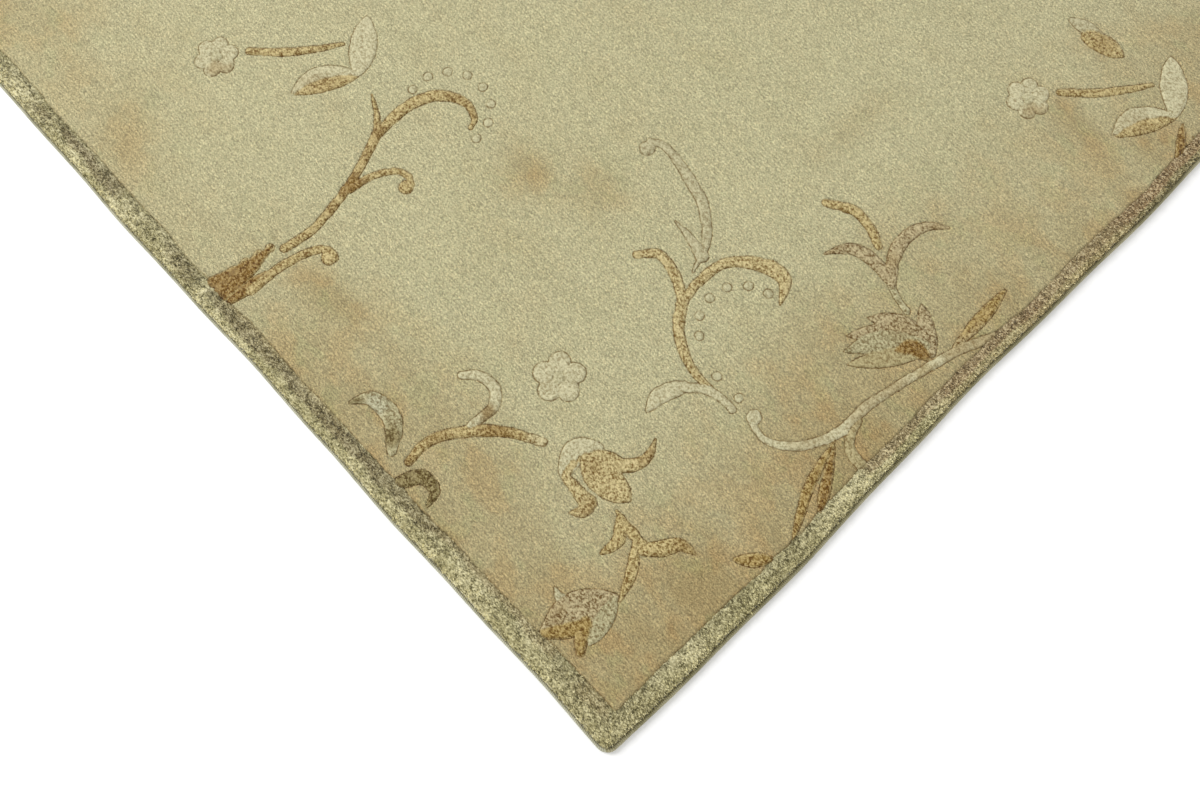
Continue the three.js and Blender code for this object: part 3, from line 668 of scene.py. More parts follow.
def field_mesh():
    """Vertices, faces and attributes of the field, finest near the outlines that the photograph shows."""
    grids = np.meshgrid(np.arange(TILES_LONG), np.arange(TILES_WIDE), indexing="ij")
    ti, tj = (grid.ravel() for grid in grids)
    level = tile_levels(ti, tj)
    padded = np.pad(level.reshape(TILES_LONG, TILES_WIDE), 1, constant_values=FINE)
    beside = [padded[:-2, 1:-1], padded[2:, 1:-1], padded[1:-1, :-2], padded[1:-1, 2:]]
    vertices, faces, attributes, base = [], [], [], 0
    for n in (FINE, MIDDLE, COARSE):
        mine = np.nonzero(level == n)[0]
        step = np.arange(n + 1) / n
        x = -FIELD_HALF_X + (ti[mine][:, None, None] + step[None, :, None]) * TILE_X + 0 * step[None, None, :]
        y = -FIELD_HALF_Y + (tj[mine][:, None, None] + step[None, None, :]) * TILE_Y + 0 * step[None, :, None]
        flat_x, flat_y = x.reshape(len(mine), -1), y.reshape(len(mine), -1)
        silk, line_a, line_b, tone, raised, mottled = paint(flat_x, flat_y)
        line = np.minimum(np.abs(line_a), np.abs(line_b))
        z = field_height(flat_x, flat_y, silk, line, raised, TILE_X / n).reshape(x.shape)
        stitch(z, n, [other.ravel()[mine] for other in beside])
        count = (n + 1) ** 2
        index = np.arange(count).reshape(n + 1, n + 1)
        quad = np.stack([index[:-1, :-1], index[1:, :-1], index[1:, 1:], index[:-1, 1:]], -1).reshape(-1, 4)
        faces.append((quad[None] + (base + np.arange(len(mine)) * count)[:, None, None]).reshape(-1, 4))
        vertices.append(np.stack([x, y, z], -1).reshape(-1, 3))
        inner = inside_border(flat_x, flat_y)
        attributes.append(np.column_stack([
            silk.ravel(), line_a.ravel(), line_b.ravel(),
            tanned(flat_x, flat_y).ravel(), inner.ravel(), mottled.ravel(), tone.reshape(-1, 3),
        ]))
        base += len(mine) * count
    vertices, faces, attributes = np.vstack(vertices), np.vstack(faces), np.vstack(attributes)

    # Tiles share the vertices on their edges
    key = np.round(vertices[:, :2] * 200).astype(np.int64)
    key = key[:, 0] * 4000003 + key[:, 1]
    _, kept, back = np.unique(key, return_index=True, return_inverse=True)
    return vertices[kept], back.reshape(-1)[faces], attributes[kept]


def normals_of(vertices, faces):
    """Smooth normals of a mesh of quads."""
    a, b, c, d = (vertices[faces[:, i]] for i in range(4))
    face = np.cross(c - a, d - b)
    out = np.zeros_like(vertices)
    for i in range(4):
        for k in range(3):
            out[:, k] += np.bincount(faces[:, i], weights=face[:, k], minlength=len(vertices))
    return out / np.maximum(np.linalg.norm(out, axis=1, keepdims=True), 1e-12)


def add_mesh(name, vertices, faces, attributes=None, normals=None):
    """A mesh object from millimetre vertices. Attributes: name to an array of 1 or 3 columns."""
    sides = faces.shape[1]
    used, faces = np.unique(faces, return_inverse=True)
    faces = faces.reshape(-1, sides)
    mesh = bpy.data.meshes.new(name)
    mesh.vertices.add(len(used))
    mesh.vertices.foreach_set("co", (vertices[used] * MM).astype(np.float32).ravel())
    mesh.loops.add(faces.size)
    mesh.loops.foreach_set("vertex_index", faces.astype(np.int32).ravel())
    mesh.polygons.add(len(faces))
    mesh.polygons.foreach_set("loop_start", np.arange(0, faces.size, sides, dtype=np.int32))
    mesh.update(calc_edges=True)
    mesh.polygons.foreach_set("use_smooth", np.ones(len(faces), bool))
    for key, values in (attributes or {}).items():
        values = np.asarray(values)[used]
        if values.ndim == 1:
            layer = mesh.attributes.new(key, "FLOAT", "POINT")
            layer.data.foreach_set("value", values.astype(np.float32))
        else:
            layer = mesh.attributes.new(key, "FLOAT_VECTOR", "POINT")
            layer.data.foreach_set("vector", values.astype(np.float32).ravel())
    if normals is not None:
        mesh.normals_split_custom_set_from_vertices(normals[used])
    piece = bpy.data.objects.new(name, mesh)
    bpy.context.scene.collection.objects.link(piece)
    return piece


# The border is made of rings round the rug, with stations along its sides, its ends and its corners
SIDE_STATIONS = 820
END_STATIONS = 548
CORNER_STATIONS = 14


def plan_ring(end_inset, side_inset, side_steps, end_steps, corner_steps):
    """A ring at insets given by distance from the corner, anticlockwise from the middle of the far end."""
    corner_x, corner_y = end_inset(side_inset(0.0) + 1), side_inset(end_inset(0.0) + 1)
    radius = max(CORNER_RADIUS - min(corner_x, corner_y), 1.0)
    centre_x, centre_y = LENGTH / 2 - corner_x - radius, WIDTH / 2 - corner_y - radius
    y = centre_y * 2 * (np.arange(end_steps // 2) + 0.5) / end_steps
    end = np.column_stack([LENGTH / 2 - end_inset(WIDTH / 2 - y), y])
    turn = np.linspace(0, math.pi / 2, corner_steps + 1)
    arc = np.column_stack([np.cos(turn), np.sin(turn)]) * radius + np.array([centre_x, centre_y])
    x = centre_x * 2 * (np.arange(side_steps // 2 - 1, -1, -1) + 0.5) / side_steps
    side = np.column_stack([x, WIDTH / 2 - side_inset(LENGTH / 2 - x)])
    one = np.vstack([end, arc, side])
    back = one[::-1]
    return np.vstack([one, back * [-1, 1], one * [-1, -1], back * [1, -1]])


def border_ring(share, side_steps, end_steps):
    """The border's ring at that share of its width inwards, and whether each point is by an end."""
    out_end, out_side = END_CORD["width"] + GAP, SIDE_CORD["width"] + GAP
    ring = plan_ring(
        lambda distance: out_end + (border_width(END_BORDER, distance) - out_end) * share,
        lambda distance: out_side + (border_width(SIDE_BORDER, distance) - out_side) * share,
        side_steps, end_steps, CORNER_STATIONS,
    )
    x, y = ring[:, 0], ring[:, 1]
    by_end = (LENGTH / 2 - np.abs(x)) < (WIDTH / 2 - np.abs(y))
    x = x - np.where(by_end, np.sign(x) * cut_wander(y, CUT_SEED["end"]) * share ** 3, 0)
    y = y - np.where(by_end, 0, np.sign(y) * cut_wander(x, CUT_SEED["side"]) * share ** 3)
    return x, y, by_end


# How far a darker run's ends wander, and how far they and its long edges fade
RUN_WANDER = 9
RUN_FADE = 10
RUN_SIDE_FADE = 0.09


def border_tone(x, y, by_end, share):
    """Tone of the silk border: celadon and pale clouds, with darker runs along each edge, and painted light
    and shade across its width.
    """
    u, v = x + LENGTH / 2, y + WIDTH / 2
    beyond = np.where(by_end, x > 0, y > 0)
    along = np.where(by_end, np.where(beyond, WIDTH - v, v), np.where(beyond, LENGTH - u, u))
    cloud = smooth(-0.4, 0.5, waved(0.0, x, y, BORDER_CLOUDS))[:, None]
    tone = np.array(TONES["border"]) * (1 - cloud) + np.array(TONES["pale"]) * cloud
    along = along + RUN_WANDER * noise(x, y, 14, 14, 63)
    across = waved(share, x, y, RUN_EDGES)
    for row in BORDER_RUNS:
        run = dict(zip(BORDER_RUNS_COLUMNS, row))
        inner = run["inner"] if run["inner"] < 1 else 1.5
        outer = run["outer"] if run["outer"] > 0 else -0.5
        part = smooth(run["from"] - RUN_FADE, run["from"] + RUN_FADE, along)
        part = part * smooth(run["to"] + RUN_FADE, run["to"] - RUN_FADE, along)
        part = part * smooth(outer - RUN_SIDE_FADE, outer + RUN_SIDE_FADE, across)
        part = part * smooth(inner + RUN_SIDE_FADE, inner - RUN_SIDE_FADE, across)
        part = part * (by_end == (run["edge"] == "end")) * run["share"]
        tone = tone * (1 - part[:, None]) + np.array(TONES[run["tone"]]) * part[:, None]
    # Painted light and shade: lighter at the border's outer side, darker towards the cut line
    return tone * (1.20 - 0.32 * share)


def strip_faces(rows, count):
    """Quads between successive rings of equal count."""
    i = np.arange(count)
    j = (i + 1) % count
    quads = []
    for this in range(0, (rows - 1) * count, count):
        above = this + count
        quads.append(np.column_stack([this + i, this + j, above + j, above + i]))
    return np.vstack(quads)


# Across the border: share from the pile's outer face to the cut line, and height of the pile's body
BORDER_PROFILE = [
    (0.000, 2.4),
    (0.000, 4.8),
    (0.012, 7.0),
    (0.055, 8.5),
    (0.12, 9.3),
    (0.20, 9.8),
    (0.29, 10.1),
    (0.38, 10.2),
    (0.47, 10.2),
    (0.56, 10.15),
    (0.65, 10.0),
    (0.74, 9.9),
    (0.82, 9.75),
    (0.89, 9.5),
    (0.945, 9.2),
    (0.985, 8.8),
    (1.00, 7.4),
]

# Tufts that stand on the border's body. They are longest along the knot rows, finer in the
# photographed corner, and lean outwards most on the long sides.
TUFT_HEIGHT = 1.25
TUFT_HALF_LENGTH = 1.05
TUFT_HALF_WIDTH = 0.52
TUFT_LEAN = {"end": 0.3, "side": 0.7, "stray": 0.45}
TUFT_SPREAD = {"tall": (0.5, 1.2), "size": (0.75, 1.25), "turn": 0.4}
TUFT_SINK = 0.3
TUFT_SETS = [
    {"name": "silk_tufts_fine", "pitch": 1.15, "rows": 17, "scale": 1.0, "shown": True},
    {"name": "silk_tufts_plain", "pitch": 1.7, "rows": 12, "scale": 1.35, "shown": False},
]

# Stretches of the two borders that the camera sees, from the near corner
SHOWN_SIDE = 1120.0
SHOWN_END = 820.0


def border_mesh():
    """Vertices, faces and attributes of the border's body."""
    rows, shade, tones = [], [], []
    for share, level in BORDER_PROFILE:
        x, y, by_end = border_ring(share, SIDE_STATIONS, END_STATIONS)
        top = smooth(0.0, 0.1, share) * smooth(1.0, 0.9, share)
        grain = waved(0.0, x, y, BORDER_GRAIN)
        height = level + waved(0.7 * grain, x, y, BORDER_SWELL) * top
        spread = 0.35 * noise(x, y, 4.1, 4.1, 54) * (1 - smooth(0.0, 0.2, share))
        x = x + np.where(by_end, np.sign(x) * spread, 0)
        y = y + np.where(by_end, 0, np.sign(y) * spread)
        tones.append(border_tone(x, y, by_end, share))
        # The body takes a little of the painted light of the tufts' tips
        shade.append(np.column_stack([0.5 + 0.5 * grain, np.full(len(x), 0.1), np.full(len(x), share)]))
        x, y = settle(x, y)
        rows.append(np.column_stack([x, y, height]))
    vertices = np.vstack(rows)
    faces = strip_faces(len(rows), len(rows[0]))
    return vertices, faces, {"tuft": np.vstack(shade), "tone": np.vstack(tones)}


def photographed(x, y, by_end):
    """Whether border points lie on the two stretches by the near corner that the camera sees."""
    u, v = x + LENGTH / 2, y + WIDTH / 2
    return np.where(by_end, (x < 0) & (v < SHOWN_END), (y < 0) & (u < SHOWN_SIDE))


def tuft_mesh(tufts):
    """Vertices, faces and attributes of a set of tufts, each a leaning three-sided point."""
    random = np.random.default_rng(17)
    shares, heights = zip(*BORDER_PROFILE[1:])
    pitch, scale = tufts["pitch"], tufts["scale"]
    side_steps, end_steps = 2 * int(LENGTH / pitch / 2), 2 * int(WIDTH / pitch / 2)
    vertices, shade, tones = [], [], []
    for row in range(tufts["rows"]):
        share = (row + 0.5) / tufts["rows"]
        x, y, by_end = border_ring(share, side_steps, end_steps)
        ahead = np.column_stack([np.roll(x, -1) - np.roll(x, 1), np.roll(y, -1) - np.roll(y, 1)])
        ahead = ahead / np.maximum(np.linalg.norm(ahead, axis=1, keepdims=True), 1e-6)
        outward = np.column_stack([ahead[:, 1], -ahead[:, 0]])
        keep = photographed(x, y, by_end) == tufts["shown"]
        x, y, by_end, outward, ahead = x[keep], y[keep], by_end[keep], outward[keep], ahead[keep]
        count = len(x)
        slip = random.uniform(-0.5, 0.5, (count, 2)) * pitch
        x = x + ahead[:, 0] * slip[:, 0] + outward[:, 0] * slip[:, 1]
        y = y + ahead[:, 1] * slip[:, 0] + outward[:, 1] * slip[:, 1]
        tone = border_tone(x, y, by_end, share)
        x, y = settle(x, y)
        foot = waved(np.interp(share, shares, heights) - TUFT_SINK, x, y, BORDER_SWELL)
        tall = TUFT_HEIGHT * random.uniform(*TUFT_SPREAD["tall"], count)
        tall = tall * (0.7 + 0.3 * min(1.0, 6 * (1 - share)))
        outwards = np.where(by_end, TUFT_LEAN["end"], TUFT_LEAN["side"])[:, None] * (1 - 0.5 * share)
        lean = outward * outwards + random.normal(0, TUFT_LEAN["stray"], (count, 2))
        turn = random.normal(0, TUFT_SPREAD["turn"], count) + math.pi * random.integers(0, 2, count)
        size = scale * random.uniform(*TUFT_SPREAD["size"], count)
        corners = []
        for along, aside in ((1.0, 0.0), (-0.7, 1.0), (-0.7, -1.0)):
            length, width = along * TUFT_HALF_LENGTH * size, aside * TUFT_HALF_WIDTH * size
            shift_x = width * np.cos(turn) - length * np.sin(turn)
            shift_y = width * np.sin(turn) + length * np.cos(turn)
            corners.append(np.column_stack([x + shift_x, y + shift_y, foot]))
        tip = np.column_stack([x + tall * lean[:, 0], y + tall * lean[:, 1], foot + tall])
        vertices.append(np.stack([*corners, tip], 1).reshape(-1, 3))
        fleck = np.repeat(random.uniform(0, 1, count), 4)
        # Painted light and shade: 0 at a tuft's foot, painted darker, to 1 at its tip, painted lighter
        tip_light = np.tile([0.0, 0.0, 0.0, 1.0], count)
        shade.append(np.column_stack([fleck, tip_light, np.full(4 * count, share)]))
        tones.append(np.repeat(tone, 4, axis=0))
    vertices = np.vstack(vertices)
    first = np.arange(0, len(vertices), 4)
    faces = np.vstack([np.column_stack([first + k, first + (k + 1) % 3, first + 3]) for k in range(3)])
    return vertices, faces, {"tuft": np.vstack(shade), "tone": np.vstack(tones)}


# Materials


class Graph:
    """A material's shader nodes, with small helpers that add nodes and link them."""

    def __init__(self, name):
        self.material = bpy.data.materials.new(name)
        self.material.use_nodes = True
        self.nodes = self.material.node_tree.nodes
        self.links = self.material.node_tree.links
        self.shader = self.nodes["Principled BSDF"]
        self.where = self.nodes.new("ShaderNodeTexCoord").outputs["Object"]

    def feed(self, socket, value):
        if hasattr(value, "is_output"):
            self.links.new(value, socket)
        else:
            socket.default_value = value

    def math(self, operation, a, b=0.0, c=0.0):
        node = self.nodes.new("ShaderNodeMath")
        node.operation = operation
        for socket, value in zip(node.inputs, (a, b, c)):
            self.feed(socket, value)
        return node.outputs[0]

    def times(self, a, b):
        return self.math("MULTIPLY", a, b)

    def plus(self, a, b):
        return self.math("ADD", a, b)

    def factor(self, value, low, high):
        """A factor between two numbers, from a value in 0 to 1."""
        return self.math("MULTIPLY_ADD", value, high - low, low)

    def span(self, value, low, high, to_low=0.0, to_high=1.0):
        """Maps a value smoothly from one range to another, clamped."""
        node = self.nodes.new("ShaderNodeMapRange")
        node.interpolation_type = "SMOOTHSTEP"
        keys = ("Value", "From Min", "From Max", "To Min", "To Max")
        for key, number in zip(keys, (value, low, high, to_low, to_high)):
            self.feed(node.inputs[key], number)
        return node.outputs[0]

    def mix(self, share, a, b, blend="MIX"):
        node = self.nodes.new("ShaderNodeMix")
        node.data_type = "RGBA"
        node.blend_type = blend
        node.clamp_factor = True
        self.feed(node.inputs[0], share)
        for socket, value in ((node.inputs[6], a), (node.inputs[7], b)):
            self.feed(socket, (*value, 1.0) if isinstance(value, tuple) else value)
        return node.outputs[2]

    def tint(self, colour, by):
        """A colour multiplied by another, or by a number."""
        return self.mix(1.0, colour, by, "MULTIPLY")

    def attribute(self, name, output="Vector"):
        node = self.nodes.new("ShaderNodeAttribute")
        node.attribute_name = name
        return node.outputs[output]

    def parts(self, vector):
        node = self.nodes.new("ShaderNodeSeparateXYZ")
        self.links.new(vector, node.inputs[0])
        return node.outputs

    def in_cells(self, cell_x, cell_y):
        """The place in the object, counted in cells of that many millimetres."""
        node = self.nodes.new("ShaderNodeMapping")
        self.links.new(self.where, node.inputs["Vector"])
        node.inputs["Scale"].default_value = (1000 / cell_x, 1000 / cell_y, 1000 / cell_y)
        return node.outputs[0]

    def noise(self, cell_x, cell_y, detail=2.0, rough=0.5):
        """Noise whose cells are about that many millimetres."""
        node = self.nodes.new("ShaderNodeTexNoise")
        self.links.new(self.in_cells(cell_x, cell_y), node.inputs["Vector"])
        node.inputs["Scale"].default_value = 1.0
        node.inputs["Detail"].default_value = detail
        node.inputs["Roughness"].default_value = rough
        return node.outputs["Fac"]

    def cells(self, cell_x, cell_y):
        """Scattered cells of about that many millimetres, each with its own random colour."""
        node = self.nodes.new("ShaderNodeTexVoronoi")
        self.links.new(self.in_cells(cell_x, cell_y), node.inputs["Vector"])
        node.inputs["Scale"].default_value = 1.0
        node.inputs["Randomness"].default_value = 1.0
        return node.outputs

    def dress(self, colour, height, depth, strength):
        """Gives the shader its colour, and a bump from that height, as deep as that in metres."""
        self.links.new(colour, self.shader.inputs["Base Color"])
        bump = self.nodes.new("ShaderNodeBump")
        self.links.new(height, bump.inputs["Height"])
        bump.inputs["Distance"].default_value = depth
        bump.inputs["Strength"].default_value = strength
        self.links.new(bump.outputs[0], self.shader.inputs["Normal"])

    def constants(self, values):
        for key, value in values.items():
            self.shader.inputs[key].default_value = value


def wavering_rows(g, x):
    """Height of the wool's knot rows, which waver a little."""
    wobble = g.times(g.math("SUBTRACT", g.noise(24, 24, 1.0), 0.5), 5.0)
    waver = g.times(g.math("SUBTRACT", g.noise(4.5, 8, 2.0, 0.6), 0.5), 2.6)
    place = g.plus(g.plus(x, wobble), waver)
    return g.math("ABSOLUTE", g.math("SINE", g.times(place, math.pi / ROW_PITCH)))


def wool_colour(g, tan, broad, flecks, knot, rows):
    """Khaki to tan, flecked by tone and painted shading from tuft to tuft, with painted shade between the
    rows.
    """
    wool = g.mix(tan, TONES["wool"], TONES["tan"])
    wool = g.mix(g.span(broad, 0.38, 0.68, 0.0, 0.16), wool, TONES["khaki"])
    blush = g.times(g.span(g.noise(26, 40), 0.46, 0.62), tan)
    wool = g.mix(g.times(blush, 0.8), wool, g.tint(wool, TINTS["blush"]))
    moss = g.times(g.span(g.noise(19, 30), 0.46, 0.34), tan)
    wool = g.mix(g.times(moss, 0.7), wool, g.tint(wool, TINTS["mossy"]))
    wool = g.mix(g.span(flecks["warmth"], 0.7, 1.0, 0.0, 0.3), wool, g.tint(wool, TINTS["warm tuft"]))
    wool = g.mix(g.span(flecks["warmth"], 0.3, 0.0, 0.0, 0.3), wool, g.tint(wool, TINTS["cool tuft"]))
    # Painted shading: tufts flecked lighter and darker, and painted shade in the dips between the knot rows
    shade = g.times(g.factor(flecks["tuft"], 0.66, 1.34), g.factor(knot, 0.98, 1.02))
    shade = g.times(shade, g.factor(flecks["fine"], 0.72, 1.28))
    shade = g.times(shade, g.span(rows, 0.0, 0.6, 0.86, 1.03))
    return g.tint(wool, shade)


def silk_colour(g, tone, mottled, mottle, flecks):
    """The silk's tone, mottled from tuft to tuft with painted sheen and shade, most of all where it is dark.
    """
    mixed = g.plus(g.times(flecks["tuft"], 0.36), g.times(flecks["fine"], 0.24))
    mixed = g.plus(mixed, g.times(g.span(mottle, 0.34, 0.66), 0.40))
    # Painted sheen and painted shade: lighter and darker tufts and small lighter clouds stand in for the
    # silk's lustre, which changes with the pile's lie
    bright = g.mix(0.30, g.tint(tone, TINTS["painted silk sheen"]), TONES["painted silk highlight"])
    painted_shade_share = g.times(g.span(mixed, 0.52, 0.24), mottled)
    painted_sheen_share = g.times(g.span(mixed, 0.48, 0.76), mottled)
    sheen_cloud_share = g.times(g.span(g.noise(7, 9), 0.52, 0.68, 0.0, 0.45), mottled)
    silk = g.mix(painted_shade_share, tone, g.tint(tone, TINTS["painted silk shade"]))
    silk = g.mix(painted_sheen_share, silk, bright)
    return g.mix(sheen_cloud_share, silk, bright)


def pile_material(name, sheen):
    """Wool pile with silk motifs let into it: knot rows, tanned bands, painted shading and sheen, and dark
    outlines.
    """
    g = Graph(name)
    silk, line_a, line_b = g.parts(g.attribute("lines"))
    tan, inner, mottled = g.parts(g.attribute("wear_and_sheen"))
    x, _, _ = g.parts(g.in_cells(1.0, 1.0))

    # Tufts about a third of a knot wide, each with its own random values for tone and painted shading,
    # longest along the knot rows
    tufts = g.cells(0.65, 1.0)
    fleck, warmth, _ = g.parts(tufts["Color"])
    fine, _, _ = g.parts(g.cells(0.5, 1.4)["Color"])
    flecks = {"tuft": fleck, "warmth": warmth, "fine": fine}
    knot, _, _ = g.parts(g.cells(ROW_PITCH, KNOT_PITCH)["Color"])
    rows = wavering_rows(g, x)
    broad = g.noise(30, 46, 3.0, 0.55)
    mottle = g.noise(2.2, 2.8, 3.0, 0.6)

    wool = wool_colour(g, tan, broad, flecks, knot, rows)
    silken = silk_colour(g, g.attribute("tone"), mottled, mottle, flecks)
    ragged = g.math("SUBTRACT", fleck, 0.5)
    inside = g.span(g.plus(silk, ragged), 0.25, -0.25)
    colour = g.mix(inside, wool, silken)

    # Outlines: a fine dark line where the pile is carved, broken from knot to knot
    nearest = g.math("MINIMUM", g.math("ABSOLUTE", line_a), g.math("ABSOLUTE", line_b))
    nearest = g.plus(nearest, g.times(ragged, 0.35))
    broken = g.times(g.span(knot, 0.0, 0.6, 0.3, 1.0), g.span(broad, 0.3, 0.5, 0.7, 1.0))
    line = g.times(g.span(nearest, 0.78, 0.08), broken)
    colour = g.mix(g.times(line, 0.85), colour, g.tint(colour, TINTS["outline"]))
    cut = g.times(g.span(inner, 1.0, -0.1), g.span(knot, 0.1, 0.8, 0.15, 1.0))
    colour = g.mix(g.times(cut, 0.7), colour, g.tint(colour, TINTS["cut line"]))

    tuft = g.math("SUBTRACT", 1.0, g.times(tufts["Distance"], tufts["Distance"]))
    height = g.plus(g.times(tuft, 0.5), g.times(fleck, 0.5))
    height = g.plus(height, g.times(rows, 0.45))
    height = g.plus(height, g.times(g.times(mottle, inside), 0.8))
    height = g.math("SUBTRACT", height, g.times(line, 0.8))
    g.dress(colour, height, 0.0008, 0.7)
    g.links.new(g.span(inside, 0.0, 1.0, 0.93, 0.6), g.shader.inputs["Roughness"])
    g.constants({
        "Sheen Weight": sheen,
        "Sheen Roughness": 0.45,
        "Sheen Tint": (0.95, 0.86, 0.62, 1.0),
        "Specular IOR Level": 0.2,
    })
    return g.material


def border_material():
    """Cut silk pile, speckled from tuft to tuft, with painted shade at the tufts' feet and painted light at
    their tips.
    """
    g = Graph("silk_border")
    fleck, tip_light, _ = g.parts(g.attribute("tuft"))
    tone = g.attribute("tone")
    speck, _, _ = g.parts(g.cells(0.75, 1.6)["Color"])
    mixed = g.plus(g.times(fleck, 0.5), g.times(speck, 0.5))
    bright = g.mix(0.3, g.tint(tone, TINTS["bright border"]), TONES["border light"])
    colour = g.mix(g.span(mixed, 0.52, 0.20), tone, g.tint(tone, TINTS["dark border"]))
    colour = g.mix(g.span(mixed, 0.50, 0.80), colour, bright)
    # Painted shade at the tufts' feet and painted light at their tips
    colour = g.tint(colour, g.factor(tip_light, 1.0, 1.75))
    g.dress(colour, g.noise(0.7, 0.7, 2.0, 0.6), 0.0005, 0.5)
    g.constants({"Roughness": 0.6, "Sheen Weight": 0.3, "Sheen Roughness": 0.35, "Specular IOR Level": 0.4})
    return g.material


def yarn_material(name, tone, worn):
    """Whipped edge yarn: matt wool, paler where it is worn, with painted shade between its turns."""
    g = Graph(name)
    turns = g.attribute("turns", "Fac")
    fibre = g.noise(0.7, 2.4, 3.0, 0.6)
    colour = g.mix(g.span(g.noise(24, 24, 3.0, 0.6), 0.35, 0.65), tone, worn)
    # Painted shade in the dips between the turns of yarn
    colour = g.mix(g.span(turns, 0.45, 0.0, 0.0, 0.75), colour, g.tint(colour, TINTS["painted shade between turns"]))
    colour = g.mix(g.span(fibre, 0.5, 0.7, 0.0, 0.4), colour, TONES["fibre light"])
    g.dress(colour, g.plus(turns, g.times(fibre, 0.5)), 0.0005, 0.7)
    g.constants({"Roughness": 0.85, "Sheen Weight": 0.3})
    return g.material


def foundation_material():
    """The woven back: flat knot loops in rows, the motifs showing through, and cotton warps between."""
    g = Graph("woven_back")
    silk, _, _ = g.parts(g.attribute("lines"))
    tan, _, _ = g.parts(g.attribute("wear_and_sheen"))
    x, y, _ = g.parts(g.in_cells(1.0, 1.0))
    rows = g.math("ABSOLUTE", g.math("SINE", g.times(x, math.pi / ROW_PITCH)))
    loops = g.math("ABSOLUTE", g.math("SINE", g.times(y, 2 * math.pi / KNOT_PITCH)))
    grain = g.noise(1.6, 1.1, 3.0, 0.6)
    wool = g.mix(tan, TONES["wool"], TONES["tan"])
    colour = g.mix(g.span(silk, 1.0, -1.0), wool, g.attribute("tone"))
    colour = g.mix(g.span(grain, 0.5, 0.3, 0.0, 0.5), colour, g.tint(colour, TINTS["back grain"]))
    colour = g.mix(g.span(rows, 0.42, 0.0, 0.0, 0.75), colour, TONES["warp"])
    height = g.plus(rows, g.times(g.times(loops, rows), 0.6))
    g.dress(colour, g.plus(height, g.times(grain, 0.4)), 0.0007, 0.8)
    g.constants({"Roughness": 0.95, "Specular IOR Level": 0.15})
    return g.material


# Pieces


def seat(piece, slot, *nodes):
    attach(piece, "root")
    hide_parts(*nodes)


def field_pieces(name, slot, material, faces, mesh):
    """The pieces of the field with these faces, split so that none has too many triangles."""
    pieces = []
    blocks = max(1, math.ceil(2 * len(faces) / MOST_TRIANGLES))
    for i, block in enumerate(np.array_split(faces, blocks)):
        piece = add_mesh(f"{name}_{i + 1}", mesh["vertices"], block, mesh["layers"], mesh["normals"])
        piece.data.materials.append(material)
        seat(piece, slot, "rug")
        pieces.append(piece)
    return pieces


def build_field():
    """The wool field in a few pieces along the rug, and the silk motifs apart from it."""
    vertices, faces, extra = field_mesh()
    x, y = settle(vertices[:, 0], vertices[:, 1])
    vertices = np.column_stack([x, y, vertices[:, 2]])
    mesh = {
        "vertices": vertices,
        "normals": normals_of(vertices, faces),
        "layers": {"lines": extra[:, 0:3], "wear_and_sheen": extra[:, 3:6], "tone": extra[:, 6:9]},
    }
    silk = extra[:, 0][faces].max(1) < SILK_FRINGE
    middle = vertices[faces, 0].mean(1)
    wool_faces = faces[~silk][np.argsort(middle[~silk], kind="stable")]
    wool = field_pieces("wool_field", "wool_pile", pile_material("wool_pile", 0.25), wool_faces, mesh)
    motifs = field_pieces("silk_motifs", "silk_pile", pile_material("silk_motifs", 0.3), faces[silk], mesh)
    return [*wool, *motifs]


def build_border():
    """The silk border: the pile's body, and its tufts standing on it."""
    material = border_material()
    vertices, faces, layers = border_mesh()
    pieces = [add_mesh("silk_border", vertices, faces, layers, normals_of(vertices, faces))]
    for tufts in TUFT_SETS:
        vertices, faces, layers = tuft_mesh(tufts)
        piece = add_mesh(tufts["name"], vertices, faces, layers)
        piece.data.polygons.foreach_set("use_smooth", np.zeros(len(faces), bool))
        pieces.append(piece)
    for piece in pieces:
        piece.data.materials.append(material)
        seat(piece, "silk_pile", "rug")
    return pieces


def close_ends(piece, caps):
    """Closes the open ends of a piece, each with one face through those vertices."""
    bm = bmesh.new()
    bm.from_mesh(piece.data)
    bm.verts.ensure_lookup_table()
    for cap in caps:
        bm.faces.new([bm.verts[int(i)] for i in cap])
    bmesh.ops.recalc_face_normals(bm, faces=bm.faces)
    bm.to_mesh(piece.data)
    bm.free()


# Section of a whipped edge: share of its width inwards and share of its height. Its feet come first.
WHIP_SECTION = [(0.10, 0.0), (0.90, 0.0), (1.0, 0.42), (0.84, 0.86), (0.5, 1.0), (0.16, 0.86), (0.0, 0.42)]
WHIP_FEET = 2

# A turn of yarn, the steps round a rug's corner, and how far a ridge, the dip between two ridges
# and the yarn's unevenness change the section
WHIP_PITCH = 1.7
WHIP_CORNER_STEPS = 16
WHIP_SWELL = {"ridge": 0.07, "dip": 0.10, "uneven": 0.035}
WHIP_TALLEST = 1.05


def whip_rings(corner, height):
    """Smooth sections of a whipped edge, from the middle of that corner to the next one's."""
    side_steps = int(2 * LENGTH / WHIP_PITCH) // 2 * 2
    end_steps = int(2 * WIDTH / WHIP_PITCH) // 2 * 2
    quarter = end_steps // 2 + WHIP_CORNER_STEPS + 1 + side_steps // 2
    turn = end_steps // 2 + WHIP_CORNER_STEPS // 2
    corners = [turn, 2 * quarter - 1 - turn, 2 * quarter + turn, 4 * quarter - 1 - turn, 4 * quarter + turn]
    lanes = []
    for inwards, up in WHIP_SECTION:
        ring = plan_ring(
            lambda distance: END_CORD["width"] * inwards + 0 * distance,
            lambda distance: SIDE_CORD["width"] * inwards + 0 * distance,
            side_steps, end_steps, WHIP_CORNER_STEPS,
        )
        x, y = settle(ring[:, 0], ring[:, 1])
        lanes.append(np.column_stack([x, y, np.full(len(x), height * up)]))
    span = np.arange(corners[corner], corners[corner + 1] + 1) % (4 * quarter)
    return np.array(lanes)[:, span].transpose(1, 0, 2)


